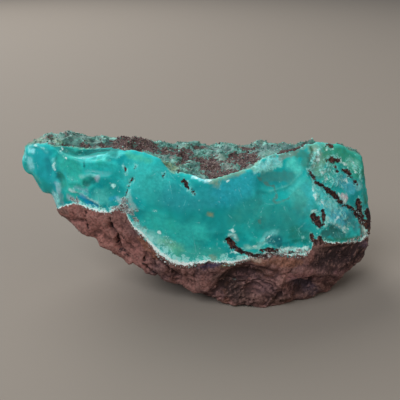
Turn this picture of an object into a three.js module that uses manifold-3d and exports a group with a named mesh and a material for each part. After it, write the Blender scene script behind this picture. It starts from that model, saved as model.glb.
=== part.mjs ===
// A rough chrysoprase specimen: one broken block of stone, about 121 mm long.
// A seam of blue-green chalcedony runs the whole length of it, on red-brown ironstone,
// under a thin drusy crust. The stone lies on its ironstone side, on one worn flat patch.
//
// Units are millimetres. +X runs along the stone towards its blunt end, -Y is the broken
// face that shows the seam best, and +Z is up. The surface is skinned through cross
// sections, and every cross section is strung on the same fourteen edge lines.
import * as THREE from "three";
import Module from "manifold-3d";
import { LoftGeometry } from "three/addons/geometries/LoftGeometry.js";
import { ImprovedNoise } from "three/addons/math/ImprovedNoise.js";
import { mergeVertices } from "three/addons/utils/BufferGeometryUtils.js";

// Driving dimensions.
const TIP_X = -59.4; // the overhanging thin end
const BLUNT_X = 61.7; // the thick end, which stands on the ground
const SECTION_PITCH = 1.4; // spacing of the cross sections along the middle of the stone
const END_PITCH = 0.7; // and near both ends, where the outline turns fastest
const END_REACH = 5; // length of the closely spaced stretch at each end

const SEAM_ROUGHNESS = 0.15; // how much of the relief the smooth chalcedony carries
const ROCK_ROUGHNESS = 1; // the crust, the ironstone and the hidden back carry it all
const CHIP_SIZE = 7; // width of one flat chip of the broken rock
const CHIP_TILT = 0.24; // how far a chip leans away from the surface, as a slope
const GRAIN_SIZE = 2.8; // width of one hump between the chips
const GRAIN_HEIGHT = 0.5; // height of that hump
const WEATHERING = 4; // rounds of smoothing
const ROUNDED = 0.6; // share of the way to its neighbours that a point moves in a round
const CRISP = 0.15;
const BROKEN = 0.05;

// Shell-shaped flakes broken off the block, as ellipsoids that bite into its surface.
const FLAKES = [
  { at: [14, -33, 14.5], radii: [15, 15.5, 7] }, // layered hollow in the ironstone, in front
  { at: [37.5, -25, 5], radii: [9, 11, 7] }, // smooth scoop beside it
  { at: [-15, 54, 38], radii: [34, 32, 32] }, // large flake on the back of the thin end
  { at: [31, 50, 20], radii: [26, 25, 26] }, // and one on the back of the blunt end
  { at: [4, 44, 2], radii: [20, 22, 12] }, // below them, along the heel
  { at: [74, 20, 36], radii: [17, 17, 18] }, // flake off the blunt end
];

// Flat breaks on the hidden back: nothing reaches past the plane through `at`.
const BREAKS = [
  { at: [-38, 20.5, 49.5], facing: [-0.45, 0.7, 0.55] },
  { at: [12, 28, 33], facing: [0.12, 0.9, 0.42] },
  { at: [52, 21, 24], facing: [0.5, 0.85, -0.15] },
  { at: [-24, 18, 16], facing: [-0.5, 0.6, -0.62] },
];

// The edge lines, in order round a cross section: down the front face, along the
// underside, up the back and over the top. Each point is [x, y, z]; the line runs
// straight from point to point. `steps` divides the strip between a line and the next,
// `rough` is the share of the relief at the line, and `worn` how much it is rounded.
const EDGE_LINES = [
  {
    // Front rim of the top, where the smooth face meets the crust.
    name: "crest",
    steps: 3,
    rough: SEAM_ROUGHNESS,
    worn: CRISP,
    points: [
      [-59.5, 3.5, 46.5],
      [-57, 3, 51],
      [-50, 1, 52],
      [-44, -2, 50.5],
      [-38, -5, 49.5],
      [-31.5, -6, 51.5],
      [-19.5, -8, 53],
      [-12, -10, 51.5],
      [-8, -12, 47.5],
      [2.5, -15, 45.5],
      [11, -13, 47.5],
      [17, -11, 48],
      [21, -7, 50],
      [28, -2, 51],
      [34, 1, 51.5],
      [41, 3, 52.3],
      [49, 4, 50.5],
      [53.5, 5, 48],
      [56.7, 5, 45.5],
      [58.3, 4.5, 40],
      [60, 4, 31],
      [61.8, 2.5, 24],
    ],
  },
  {
    name: "brow",
    steps: 5,
    rough: SEAM_ROUGHNESS,
    worn: ROUNDED,
    points: [
      [-59.5, 2.5, 46],
      [-57, 1, 49],
      [-50, -1.5, 49],
      [-47, -1.5, 48],
      [-44, -4, 47],
      [-30, -8.5, 47.5],
      [-12, -13.5, 46.5],
      [4, -17.5, 40.5],
      [17, -14.5, 43],
      [28, -8, 46],
      [43, -3, 46.5],
      [49, 0, 45.5],
      [56, 2.5, 41],
      [60, 3, 29],
      [61.8, 1.8, 23.5],
    ],
  },
  {
    name: "belly",
    steps: 5,
    rough: SEAM_ROUGHNESS,
    worn: ROUNDED,
    points: [
      [-59.5, 2, 45],
      [-57, 0, 46],
      [-51, -3, 43],
      [-47, -3, 42],
      [-43, -6.5, 40],
      [-30, -10.5, 40],
      [-23, -12, 38],
      [-12, -17, 33],
      [4, -20.5, 28],
      [17, -19.5, 31],
      [28, -16.5, 33],
      [36, -13, 33],
      [43, -9.5, 34],
      [49, -5.5, 33],
      [56, -0.5, 31],
      [60, 1.5, 26],
      [61.8, 1.2, 23],
    ],
  },
  {
    // Where the chalcedony ends and the ironstone begins.
    name: "contact",
    steps: 3,
    rough: SEAM_ROUGHNESS,
    worn: ROUNDED,
    points: [
      [-59.5, 2, 44.2],
      [-57, 0.5, 42.5],
      [-51, -2.8, 37.5],
      [-48.6, -3.2, 36.8],
      [-47.4, -5, 31.5],
      [-43, -7, 33.5],
      [-29, -11.5, 33],
      [-24, -12.5, 32],
      [-18, -14, 26],
      [-13, -15.5, 20.5],
      [-6.5, -17.5, 16.8],
      [1, -19, 18.2],
      [10.5, -20, 18.6],
      [22.5, -20, 22],
      [35, -17.5, 22],
      [43, -13.5, 22.7],
      [48.5, -10, 21],
      [55.5, -6, 19.2],
      [60, -1, 20],
      [61.8, 1, 22.4],
    ],
  },
  {
    name: "shin",
    steps: 3,
    rough: ROCK_ROUGHNESS,
    worn: BROKEN,
    points: [
      [-59.5, 2.4, 43.6],
      [-57, 1.2, 41],
      [-54, -0.5, 38],
      [-51, -2.2, 36],
      [-48.6, -2.6, 35.8],
      [-47.4, -5, 30.5],
      [-38, -9, 27.5],
      [-29, -11.5, 24],
      [-13, -15.5, 15],
      [2, -18.5, 11.5],
      [17, -20, 11],
      [28, -20, 11.5],
      [36, -17.5, 11],
      [43, -14.5, 12],
      [49, -11, 12],
      [56, -6.5, 14],
      [60, -2, 17],
      [61.8, 1.2, 21.6],
    ],
  },
  {
    // Lower front edge: it climbs from the resting patch to the overhanging thin end.
    name: "foot",
    steps: 4,
    rough: ROCK_ROUGHNESS,
    worn: BROKEN,
    points: [
      [-59.5, 3.2, 43.2],
      [-57.3, 2.5, 40.5],
      [-54.6, 0.8, 36.8],
      [-52.5, -1, 35],
      [-48.6, -2, 35],
      [-47.6, -4, 29.5],
      [-38.5, -8, 22.3],
      [-29, -10, 17],
      [-15, -14, 10.5],
      [-5, -15.5, 7],
      [2, -16.5, 5.5],
      [8.5, -17, 1.5],
      [18, -18, 0.8],
      [26.5, -18, -0.2],
      [35, -14.5, 0.2],
      [46.5, -9, 0.5],
      [50, -7, 3],
      [56, -4, 8.7],
      [59.4, -3, 11],
      [61, -0.5, 17],
      [61.8, 1.6, 20.8],
    ],
  },
  {
    name: "front keel",
    steps: 5,
    rough: ROCK_ROUGHNESS,
    worn: BROKEN,
    points: [
      [-59.5, 5, 43],
      [-54.5, 4, 37.5],
      [-52, 2.5, 35.6],
      [-48.6, 1, 35],
      [-47, 1, 29],
      [-38, 0, 21.5],
      [-28, -1, 14.5],
      [-15, -3, 7.5],
      [-4, -5, 1.5],
      [3, -9, -0.8],
      [12, -13, -1.2],
      [28, -13, -1.2],
      [38, -9, -1.2],
      [45, -5, -1.2],
      [50, -1, 3],
      [56, 1, 9],
      [60, 3, 14.5],
      [61.8, 5, 20.3],
    ],
  },
  {
    name: "back keel",
    steps: 4,
    rough: ROCK_ROUGHNESS,
    worn: BROKEN,
    points: [
      [-59.5, 8, 43.5],
      [-50, 9, 36],
      [-46, 10, 29],
      [-38, 10.5, 22],
      [-28, 11, 13],
      [-15, 13, 4],
      [-8, 15, -1],
      [15, 17, -1.2],
      [30, 14, -1.2],
      [42, 10, -1],
      [50, 10, 4.5],
      [56, 9, 10],
      [60, 9, 15.5],
      [61.8, 10, 20.2],
    ],
  },
  {
    name: "heel",
    steps: 5,
    rough: ROCK_ROUGHNESS,
    worn: BROKEN,
    points: [
      [-59.5, 10, 43.8],
      [-50, 14, 38],
      [-44, 16.5, 31],
      [-28, 20, 18],
      [-15, 23, 11],
      [0, 25.5, 6.5],
      [15, 25.5, 5.5],
      [28, 23.5, 6.5],
      [40, 20, 8],
      [50, 18, 10.5],
      [56, 16.5, 14.5],
      [60, 15.5, 18.5],
      [61.8, 13.5, 20.8],
    ],
  },
  {
    // Deepest line of the hidden back.
    name: "waist",
    steps: 4,
    rough: ROCK_ROUGHNESS,
    worn: BROKEN,
    points: [
      [-59.5, 10.6, 44.8],
      [-57, 14.5, 45],
      [-50, 19, 43],
      [-42, 22.5, 40],
      [-30, 24.5, 36],
      [-15, 27, 31],
      [0, 30, 27],
      [15, 31, 25],
      [28, 29.5, 26],
      [40, 26, 27],
      [50, 22.5, 28],
      [56, 20, 27],
      [60, 18, 24.5],
      [61.8, 14.5, 22],
    ],
  },
  {
    name: "shoulder",
    steps: 3,
    rough: ROCK_ROUGHNESS,
    worn: BROKEN,
    points: [
      [-59.5, 10, 45.6],
      [-57, 13, 48],
      [-50, 16.5, 48.5],
      [-42, 20, 47.5],
      [-30, 19, 45.5],
      [-15, 20, 43.5],
      [0, 23, 41],
      [15, 24, 40],
      [28, 21, 42],
      [40, 18, 43],
      [50, 17, 41],
      [56, 16.5, 37.5],
      [60, 15.5, 28],
      [61.8, 13, 23.2],
    ],
  },
  {
    // Back rim of the top.
    name: "back crest",
    steps: 3,
    rough: ROCK_ROUGHNESS,
    worn: BROKEN,
    points: [
      [-59.5, 8, 46.8],
      [-57, 8.5, 51.2],
      [-51, 9.5, 53.2],
      [-45.5, 12, 53.8],
      [-41, 13, 53.8],
      [-37, 13, 52.6],
      [-27, 11, 51],
      [-21, 11, 51],
      [-16, 12, 49.5],
      [0, 15, 48],
      [9, 16, 47],
      [16.5, 15, 47.5],
      [21, 13, 49],
      [28, 10, 50],
      [35, 7, 51],
      [41, 6.5, 51.7],
      [49, 9, 49.5],
      [54, 10.5, 46.5],
      [57, 10.5, 43.5],
      [60, 10, 30.4],
      [61.8, 9, 24],
    ],
  },
  {
    name: "top middle",
    steps: 3,
    rough: ROCK_ROUGHNESS,
    worn: BROKEN,
    points: [
      [-59.5, 6.5, 46.8],
      [-57, 6, 51],
      [-50, 5, 52],
      [-44, 5.5, 52.5],
      [-37, 5.5, 52],
      [-30, 5, 51.5],
      [-20, 3, 52],
      [-12, 3, 49],
      [0, 2, 46.5],
      [9, 3, 46],
      [17, 4, 47],
      [28, 5, 50],
      [35, 4, 51],
      [49, 6.5, 50.2],
      [54, 7.5, 47.7],
      [57, 7.5, 44.8],
      [60, 7, 31],
      [61.8, 6, 24.3],
    ],
  },
  {
    // A shallow shelf just behind the front rim.
    name: "shelf",
    steps: 2,
    rough: SEAM_ROUGHNESS,
    worn: CRISP,
    points: [
      [-59.5, 5, 46.8],
      [-57, 4.5, 51.2],
      [-50, 2.5, 52],
      [-44, 1, 50.5],
      [-38, 0.5, 50],
      [-30, -0.5, 51],
      [-24, -3.5, 52.5],
      [-12, -5, 50],
      [0, -8, 46],
      [9, -7, 46],
      [17, -5, 47.5],
      [28, 1, 50.5],
      [35, 2.5, 51.5],
      [49, 5, 50.5],
      [57, 6, 45.2],
      [60, 5.2, 31.2],
      [61.8, 4, 24.2],
    ],
  },
];

// The point of an edge line at x, as [y, z].
function pointAt(line, x) {
  const points = line.points;
  let k = 1;
  while (k < points.length - 1 && points[k][0] < x) k += 1;
  const [x0, y0, z0] = points[k - 1];
  const [x1, y1, z1] = points[k];
  const share = THREE.MathUtils.clamp((x - x0) / (x1 - x0), 0, 1);
  return [THREE.MathUtils.lerp(y0, y1, share), THREE.MathUtils.lerp(z0, z1, share)];
}

// The x of every cross section, closer together near the two ends.
function stations() {
  const result = [];
  let x = TIP_X;
  while (x < BLUNT_X) {
    result.push(x);
    const nearEnd = x < TIP_X + END_REACH || x > BLUNT_X - END_REACH;
    x += nearEnd ? END_PITCH : SECTION_PITCH;
  }
  result.push(BLUNT_X);
  return result;
}

// One cross section at x: points round it, each with its share of the relief.
function crossSection(x) {
  const corners = EDGE_LINES.map((line) => pointAt(line, x));
  const ring = [];
  EDGE_LINES.forEach((line, i) => {
    const next = (i + 1) % EDGE_LINES.length;
    for (let step = 0; step < line.steps; step += 1) {
      const share = step / line.steps;
      const y = THREE.MathUtils.lerp(corners[i][0], corners[next][0], share);
      const z = THREE.MathUtils.lerp(corners[i][1], corners[next][1], share);
      const rough = THREE.MathUtils.lerp(line.rough, EDGE_LINES[next].rough, share);
      const worn = THREE.MathUtils.lerp(line.worn, EDGE_LINES[next].worn, share);
      ring.push({ point: new THREE.Vector3(x, y, z), rough, worn });
    }
  });
  return ring;
}

// Rounds the skin: each point moves towards its neighbours as far as it is worn.
function weather(rings) {
  return rings.map((ring, i) => {
    const inner = i > 0 && i < rings.length - 1;
    return ring.map(({ point, rough, worn }, j) => {
      if (!inner) return { point, rough, worn };
      const mean = new THREE.Vector3();
      mean.add(rings[i - 1][j].point);
      mean.add(rings[i + 1][j].point);
      mean.add(ring[(j + 1) % ring.length].point);
      mean.add(ring[(j + ring.length - 1) % ring.length].point);
      mean.divideScalar(4);
      const moved = point.clone().lerp(mean, worn);
      moved.x = point.x;
      return { point: moved, rough, worn };
    });
  });
}

// A repeatable random number from 0 to 1 for one cell of the chip grid.
function cellRandom(i, j, k, channel) {
  return THREE.MathUtils.seededRandom(i * 73856 + j * 19349 + k * 83492 + channel * 6151);
}

// Height of the chipped surface at a point: every chip is a plane through the middle of
// its own cell, with a lean of its own.
function chipHeight(point) {
  const cell = point.clone().divideScalar(CHIP_SIZE).floor();
  let nearest = Infinity;
  let height = 0;
  for (let n = 0; n < 27; n += 1) {
    const i = cell.x + (n % 3) - 1;
    const j = cell.y + (Math.floor(n / 3) % 3) - 1;
    const k = cell.z + Math.floor(n / 9) - 1;
    const middle = new THREE.Vector3(
      i + cellRandom(i, j, k, 0),
      j + cellRandom(i, j, k, 1),
      k + cellRandom(i, j, k, 2),
    ).multiplyScalar(CHIP_SIZE);
    const away = point.clone().sub(middle);
    if (away.length() >= nearest) continue;
    nearest = away.length();
    const lean = new THREE.Vector3(
      cellRandom(i, j, k, 3) - 0.5,
      cellRandom(i, j, k, 4) - 0.5,
      cellRandom(i, j, k, 5) - 0.5,
    );
    height = away.dot(lean.normalize()) * CHIP_TILT;
  }
  return height;
}

// Whole relief of the broken rock at a point.
const noise = new ImprovedNoise();
function reliefAt(point) {
  const grain = noise.noise(point.x / GRAIN_SIZE, point.y / GRAIN_SIZE, point.z / GRAIN_SIZE);
  return chipHeight(point) + grain * GRAIN_HEIGHT;
}

// Moves the points of a ring in or out by the relief.
function roughen(ring) {
  const middle = new THREE.Vector3();
  ring.forEach(({ point }) => middle.add(point));
  middle.divideScalar(ring.length);
  return ring.map(({ point, rough }) => {
    const outward = point.clone().sub(middle).normalize();
    return point.clone().addScaledVector(outward, rough * reliefAt(point));
  });
}

// Takes off what reaches past a flat break.
function breakOff(point, { at, facing }) {
  const plane = new THREE.Plane().setFromNormalAndCoplanarPoint(
    new THREE.Vector3(...facing).normalize(),
    new THREE.Vector3(...at),
  );
  const past = plane.distanceToPoint(point);
  if (past > 0) point.addScaledVector(plane.normal, -past);
}

// Pushes a point that is inside a flake's ellipsoid out to the ellipsoid's surface.
function flakeOff(point, { at, radii }) {
  const size = new THREE.Vector3(...radii);
  const inside = point.clone().sub(new THREE.Vector3(...at)).divide(size);
  if (inside.length() >= 1) return;
  point.copy(inside.normalize().multiply(size).add(new THREE.Vector3(...at)));
}

// The closed skin of the stone, before the ground cuts its resting patch.
function skin() {
  let rings = stations().map(crossSection);
  for (let round = 0; round < WEATHERING; round += 1) rings = weather(rings);
  rings.forEach((ring) => {
    ring.forEach(({ point }) => {
      BREAKS.forEach((flat) => breakOff(point, flat));
      FLAKES.forEach((flake) => flakeOff(point, flake));
    });
  });
  return new LoftGeometry(rings.map(roughen), { capStart: true, capEnd: true });
}

const wasm = await Module();
wasm.setup();

// A closed three.js geometry as a manifold-3d solid.
function solidOf(closed) {
  const bare = new THREE.BufferGeometry();
  bare.setAttribute("position", closed.getAttribute("position"));
  bare.setIndex(closed.getIndex());
  const merged = mergeVertices(bare, 1e-4);
  return new wasm.Manifold(
    new wasm.Mesh({
      numProp: 3,
      vertProperties: new Float32Array(merged.attributes.position.array),
      triVerts: new Uint32Array(merged.index.array),
    }),
  );
}

// A manifold-3d solid as a three.js geometry.
function geometryOf(solid) {
  const mesh = solid.getMesh();
  const geometry = new THREE.BufferGeometry();
  geometry.setAttribute("position", new THREE.BufferAttribute(mesh.vertProperties, 3));
  geometry.setIndex(new THREE.BufferAttribute(mesh.triVerts, 1));
  return geometry;
}

// The ground, as a block whose top is z = 0: it cuts the worn resting patch.
function ground() {
  const size = 200;
  const block = new THREE.BoxGeometry(size, size, size);
  block.translate(0, 0, -size / 2);
  return solidOf(block);
}

// The whole stone, with the origin on the ground under the middle of its outline.
function buildStone() {
  const geometry = geometryOf(solidOf(skin()).subtract(ground()));
  geometry.computeBoundingBox();
  const middle = geometry.boundingBox.getCenter(new THREE.Vector3());
  geometry.translate(-middle.x, -middle.y, 0);
  geometry.computeVertexNormals();
  return geometry;
}

const chrysoprase = new THREE.Group();
const stone = new THREE.Mesh(
  buildStone(),
  new THREE.MeshStandardMaterial({ color: 0x2a8f8c, roughness: 0.35, metalness: 0 }),
);
stone.name = "stone";
chrysoprase.add(stone);

export default chrysoprase;
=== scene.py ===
"""Looks of a rough chrysoprase specimen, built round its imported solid.

The stone is one broken block: a seam of blue-green chalcedony, red-brown ironstone
under it and a thin drusy crust over it. Lengths in this script are millimetres in the
part's own frame (+X towards the blunt end, -Y towards the broken face, +Z up) until the
mesh is written, which is in metres. Colours are 0xRRGGBB as seen on a screen.
"""

import logging
import math
from dataclasses import dataclass, field
from enum import Enum

import bmesh
import bpy
import numpy as np
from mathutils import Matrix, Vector


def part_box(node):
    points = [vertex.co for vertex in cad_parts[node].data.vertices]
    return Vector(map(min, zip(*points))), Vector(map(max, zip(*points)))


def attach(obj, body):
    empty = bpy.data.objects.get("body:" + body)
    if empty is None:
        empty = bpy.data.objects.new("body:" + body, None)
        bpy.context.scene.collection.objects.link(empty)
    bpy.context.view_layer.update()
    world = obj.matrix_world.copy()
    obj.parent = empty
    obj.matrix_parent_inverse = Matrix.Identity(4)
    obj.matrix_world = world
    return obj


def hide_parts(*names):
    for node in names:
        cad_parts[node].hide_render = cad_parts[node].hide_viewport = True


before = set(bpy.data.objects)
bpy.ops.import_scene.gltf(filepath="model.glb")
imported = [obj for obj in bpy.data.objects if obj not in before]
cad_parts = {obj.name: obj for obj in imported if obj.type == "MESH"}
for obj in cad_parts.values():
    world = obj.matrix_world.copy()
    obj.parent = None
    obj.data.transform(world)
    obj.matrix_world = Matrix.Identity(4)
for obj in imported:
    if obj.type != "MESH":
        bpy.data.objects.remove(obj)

MM = 0.001
MARGIN = 0.01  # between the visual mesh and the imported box
NOWHERE = -9.0  # distance inside a mark, for points on other sides of the stone
LOG = logging.getLogger("chrysoprase")
Array = np.ndarray
Span = tuple[float, float]
Points2 = tuple[Span, ...]
Triple = tuple[float, float, float]
Shade = tuple[float, float, float, float]


# ---------------------------------------------------------------- number helpers


def linear(colour: int) -> Shade:
    """Turns a colour of the screen into the renderer's numbers."""
    parts = [part / 255.0 for part in colour.to_bytes(3, "big")]
    return (*(p / 12.92 if p <= 0.04045 else ((p + 0.055) / 1.055) ** 2.4 for p in parts), 1.0)


def smoothstep(low: float, high: float, value: Array) -> Array:
    """Eased ramp from 0 at low to 1 at high, which may be below low for a falling ramp."""
    t = np.clip((value - low) / (high - low), 0.0, 1.0)
    return t * t * (3.0 - 2.0 * t)


def hashed(cell: Array, seed: int) -> Array:
    """Repeatable random numbers from 0 to 1, one for each whole-number cell.

    Args:
        cell: whole numbers, shape (n, 3).
        seed: which set of random numbers.

    Returns:
        One number a cell, shape (n,).
    """
    c = cell.astype(np.uint32)
    h = c[:, 0] * np.uint32(374761393) + c[:, 1] * np.uint32(668265263)
    h = h + c[:, 2] * np.uint32(2246822519) + np.uint32(seed * 3266489917 % 4294967296)
    h = (h ^ (h >> np.uint32(15))) * np.uint32(2246822519)
    h = (h ^ (h >> np.uint32(13))) * np.uint32(3266489917)
    return (h ^ (h >> np.uint32(16))).astype(np.float64) / 4294967295.0


def hashed_rows(cell: Array, seed: int) -> Array:
    """Three random numbers from 0 to 1 for each cell, shape (n, 3)."""
    return np.stack([hashed(cell, seed + k) for k in range(3)], axis=1)


def gradient_noise(points: Array, size: float, seed: int) -> Array:
    """Smooth noise, about -1 to 1.

    Args:
        points: positions, shape (n, 3).
        size: width of one hump.
        seed: which noise.

    Returns:
        One number a point.
    """
    p = points / size
    cell = np.floor(p)
    f = p - cell
    ease = f * f * f * (f * (f * 6.0 - 15.0) + 10.0)
    total = np.zeros(len(p))
    for corner in np.ndindex(2, 2, 2):
        corner_at = np.array(corner, float)
        slope = hashed_rows(cell + corner_at, seed * 8) * 2.0 - 1.0
        dot = np.sum(slope * (f - corner_at), axis=1)
        total += dot * np.prod(np.where(corner_at > 0, ease, 1.0 - ease), axis=1)
    return total * 1.8


def layered_noise(points: Array, size: float, seed: int, octaves: int = 3) -> Array:
    """Noise with finer and weaker layers on top, each half as wide and half as high."""
    return sum(gradient_noise(points, size / 2**k, seed + 31 * k) / 2**k for k in range(octaves))


@dataclass(frozen=True)
class Cells:
    """Nearest-cell pattern round random middles.

    Attributes:
        nearest: distance to the nearest middle, in cells.
        border: extra distance to the second nearest, in cells.
        plane: height of the nearest cell's own leaning plane, in cells.
        label: random number of the nearest cell.
    """

    nearest: Array
    border: Array
    plane: Array
    label: Array

    @classmethod
    def at(cls, points: Array, size: float, seed: int) -> "Cells":
        """Works the pattern out.

        Args:
            points: positions, shape (n, 3).
            size: width of one cell.
            seed: which pattern.

        Returns:
            The pattern at each point.
        """
        p = points / size
        first, second = np.full((2, len(p)), 9.0)
        plane, label = np.zeros((2, len(p)))
        for offset in np.ndindex(3, 3, 3):
            cell = np.floor(p) + np.array(offset, float) - 1.0
            away = p - (cell + hashed_rows(cell, seed))
            distance = np.linalg.norm(away, axis=1)
            closer = distance < first
            second = np.where(closer, first, np.minimum(second, distance))
            lean = hashed_rows(cell, seed + 3) - 0.5
            plane = np.where(closer, np.sum(away * lean, axis=1), plane)
            label = np.where(closer, hashed(cell, seed + 7), label)
            first = np.where(closer, distance, first)
        return cls(first, second - first, plane, label)


def along(line: Points2, at: Array) -> Array:
    """Height at each position of a line of (position, height) pairs in rising position."""
    return np.interp(at, *np.array(line).T)


def distance_to_run(points: Points2, a: Array, b: Array) -> tuple[Array, Array, Array]:
    """Distance to a spot or an open line of straight runs in a plane.

    Args:
        points: corners of the line.
        a: first coordinates of the places asked about.
        b: second coordinates.

    Returns:
        The distance, how far along the line the nearest place is, from 0 to 1, and a
        number that is positive on the left of the line.
    """
    corners = np.array(points if len(points) > 1 else points * 2, float)
    nearest = np.full(len(a), 1e9)
    progress, turn = np.zeros((2, len(a)))
    steps = np.diff(corners, axis=0)
    for k, (start, step) in enumerate(zip(corners, steps)):
        u, v = a - start[0], b - start[1]
        t = np.clip((u * step[0] + v * step[1]) / max(step @ step, 1e-9), 0.0, 1.0)
        distance = np.hypot(u - t * step[0], v - t * step[1])
        progress = np.where(distance < nearest, (k + t) / len(steps), progress)
        turn = np.where(distance < nearest, step[0] * v - step[1] * u, turn)
        nearest = np.minimum(nearest, distance)
    return nearest, progress, turn


# ---------------------------------------------------------------- mesh helpers


def add_object(name: str, data: bpy.types.ID) -> bpy.types.Object:
    """Puts a new object at the origin of the scene.

    Args:
        name: its name.
        data: its mesh, light or camera.

    Returns:
        The object.
    """
    made = bpy.data.objects.new(name, data)
    bpy.context.scene.collection.objects.link(made)
    return made


def close_shape(shape: bmesh.types.BMesh, name: str) -> bpy.types.Mesh:
    """Turns a shape into a mesh and frees it.

    Args:
        shape: the shape.
        name: the mesh's name.

    Returns:
        The mesh.
    """
    mesh = bpy.data.meshes.new(name)
    shape.to_mesh(mesh)
    shape.free()
    return mesh


def modified(mesh: bpy.types.Mesh, kind: str, **settings: object) -> bpy.types.Mesh:
    """Applies one modifier to a mesh.

    Args:
        mesh: the mesh, which is used up.
        kind: the modifier's type.
        settings: its options.

    Returns:
        The new mesh.
    """
    holder = add_object(mesh.name, mesh)
    modifier = holder.modifiers.new(kind, kind)
    for name, value in settings.items():
        setattr(modifier, name, value)
    graph = bpy.context.evaluated_depsgraph_get()
    result = bpy.data.meshes.new_from_object(holder.evaluated_get(graph))
    bpy.data.objects.remove(holder)
    bpy.data.meshes.remove(mesh)
    return result


def pull(items: bpy.types.bpy_prop_collection, name: str, width: int = 3,
         kind: type = float) -> Array:
    """Reads one property of all points, edges, corners or faces of a mesh.

    Args:
        items: the mesh's points, edges, corners or faces.
        name: the property.
        width: how many numbers each one has.
        kind: type of the numbers.

    Returns:
        The numbers, shape (n, width).
    """
    values = np.empty(len(items) * width, kind)
    items.foreach_get(name, values)
    return values.reshape(-1, width)


def store(mesh: bpy.types.Mesh, name: str, values: Array) -> None:
    """Stores one number or one colour a point on a mesh.

    Args:
        mesh: the mesh.
        name: the attribute's name.
        values: numbers, shape (n,), or colours, shape (n, 4).
    """
    kind, part = ("FLOAT", "value") if values.ndim == 1 else ("FLOAT_COLOR", "color")
    layer = mesh.attributes.new(name, kind, "POINT")
    layer.data.foreach_set(part, values.astype(np.float32).ravel())


# ---------------------------------------------------------------- features of the stone

# Where the sides of the stone fade out: the top by height, the back and the face by y.
TOP_LEVEL: Span = (36.0, 40.0)
BACK_START: Span = (-4.0, 4.0)
FACE_END: Span = (8.0, 2.0)


class Side(Enum):
    """The side of the stone that a mark lies on."""

    FACE = "broken face, seen along Y"
    BACK = "back, seen against Y"
    TOP = "top, seen along Z"


@dataclass
class Skin:
    """Points of the stone's surface, with what is known about each.

    Attributes:
        points: positions, shape (n, 3).
        normals: outward directions, shape (n, 3).
        edges: pairs of neighbouring points, shape (m, 2).
    """

    points: Array
    normals: Array
    edges: Array

    @property
    def x(self) -> Array:
        """Positions along the stone."""
        return self.points[:, 0]

    @property
    def y(self) -> Array:
        """Positions across the stone."""
        return self.points[:, 1]

    @property
    def z(self) -> Array:
        """Heights."""
        return self.points[:, 2]

    def along_x(self, *span: float) -> Array:
        """Eased share of 0 to 1 between two places along the stone."""
        return smoothstep(*span, self.x)

    def across(self, side: Side) -> Array:
        """Positions up the face or the back, or across the top."""
        return self.y if side is Side.TOP else self.z

    def shown(self, side: Side) -> Array:
        """Tells how much each point belongs to one side of the stone.

        Args:
            side: the side.

        Returns:
            One share a point, from 0 to 1.
        """
        if side is Side.TOP:
            return smoothstep(0.15, 0.5, self.normals[:, 2]) * smoothstep(*TOP_LEVEL, self.z)
        backward = smoothstep(0.0, 0.3, self.normals[:, 1])
        if side is Side.BACK:
            return backward * smoothstep(*BACK_START, self.y)
        blunt_end = self.along_x(56.0, 58.5) * smoothstep(-3.8, 0.0, self.y)
        facing = smoothstep(0.3, 0.0, self.normals[:, 1])
        return facing * smoothstep(*FACE_END, self.y) * (1.0 - blunt_end)

    def relax(self, values: Array, rounds: int, weight: Array | float = 1.0,
              keep_size: bool = False) -> Array:
        """Evens out numbers over neighbouring points.

        Args:
            values: one number or one row a point.
            rounds: how often.
            weight: share of the way to the neighbours' mean, per point.
            keep_size: swell again after each round, so that the shape doesn't shrink.

        Returns:
            The evened numbers.
        """
        count = len(self.points)
        a, b = self.edges.T
        degree = np.maximum(np.bincount(a, minlength=count) + np.bincount(b, minlength=count), 1)
        rows = values.reshape(count, -1).copy()
        share = np.broadcast_to(np.asarray(weight, float), (count,))[:, None]
        for turn in range(rounds * 2 if keep_size else rounds):
            mean = np.empty_like(rows)
            for k in range(rows.shape[1]):
                mean[:, k] = np.bincount(a, rows[b, k], count) + np.bincount(b, rows[a, k], count)
            amount = -1.04 * share if turn % 2 and keep_size else share
            rows += (mean / degree[:, None] - rows) * amount
        return rows.reshape(values.shape)


@dataclass(frozen=True)
class Trace:
    """A line or a spot on one side of the stone.

    Attributes:
        points: its corners, (x, z) on the face and the back, (x, y) on the top.
        width: half its width in the middle.
        side: the side it lies on.
    """

    points: Points2
    width: float
    side: Side = field(default=Side.FACE, kw_only=True)

    def reach(self, skin: Skin) -> tuple[Array, Array, Array]:
        """Distance from each point to the line, progress along it and side of it."""
        return distance_to_run(self.points, skin.x, skin.across(self.side))


@dataclass(frozen=True)
class Streak(Trace):
    """A narrow mark, such as a crack, a white line of quartz, a painted glint or a line of grit.

    Attributes:
        taper: how much narrower than the middle its ends are, from 0 to 1.
        depth: how deep it is cut.
    """

    taper: float = 0.5
    depth: float = 0.0

    def inside(self, skin: Skin, wobble: Array) -> Array:
        """Distance inside the mark's edge.

        Args:
            skin: the skin.
            wobble: unevenness of the edge at each point.

        Returns:
            One number a point, negative outside.
        """
        distance, progress, _ = self.reach(skin)
        narrow = 1.0 - self.taper * np.abs(2.0 * progress - 1.0) ** 2
        shown = skin.shown(self.side)
        value = self.width * narrow - distance + wobble - 1.4 * (1.0 - shown)
        return np.where(shown > 0.02, value, NOWHERE)


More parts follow.
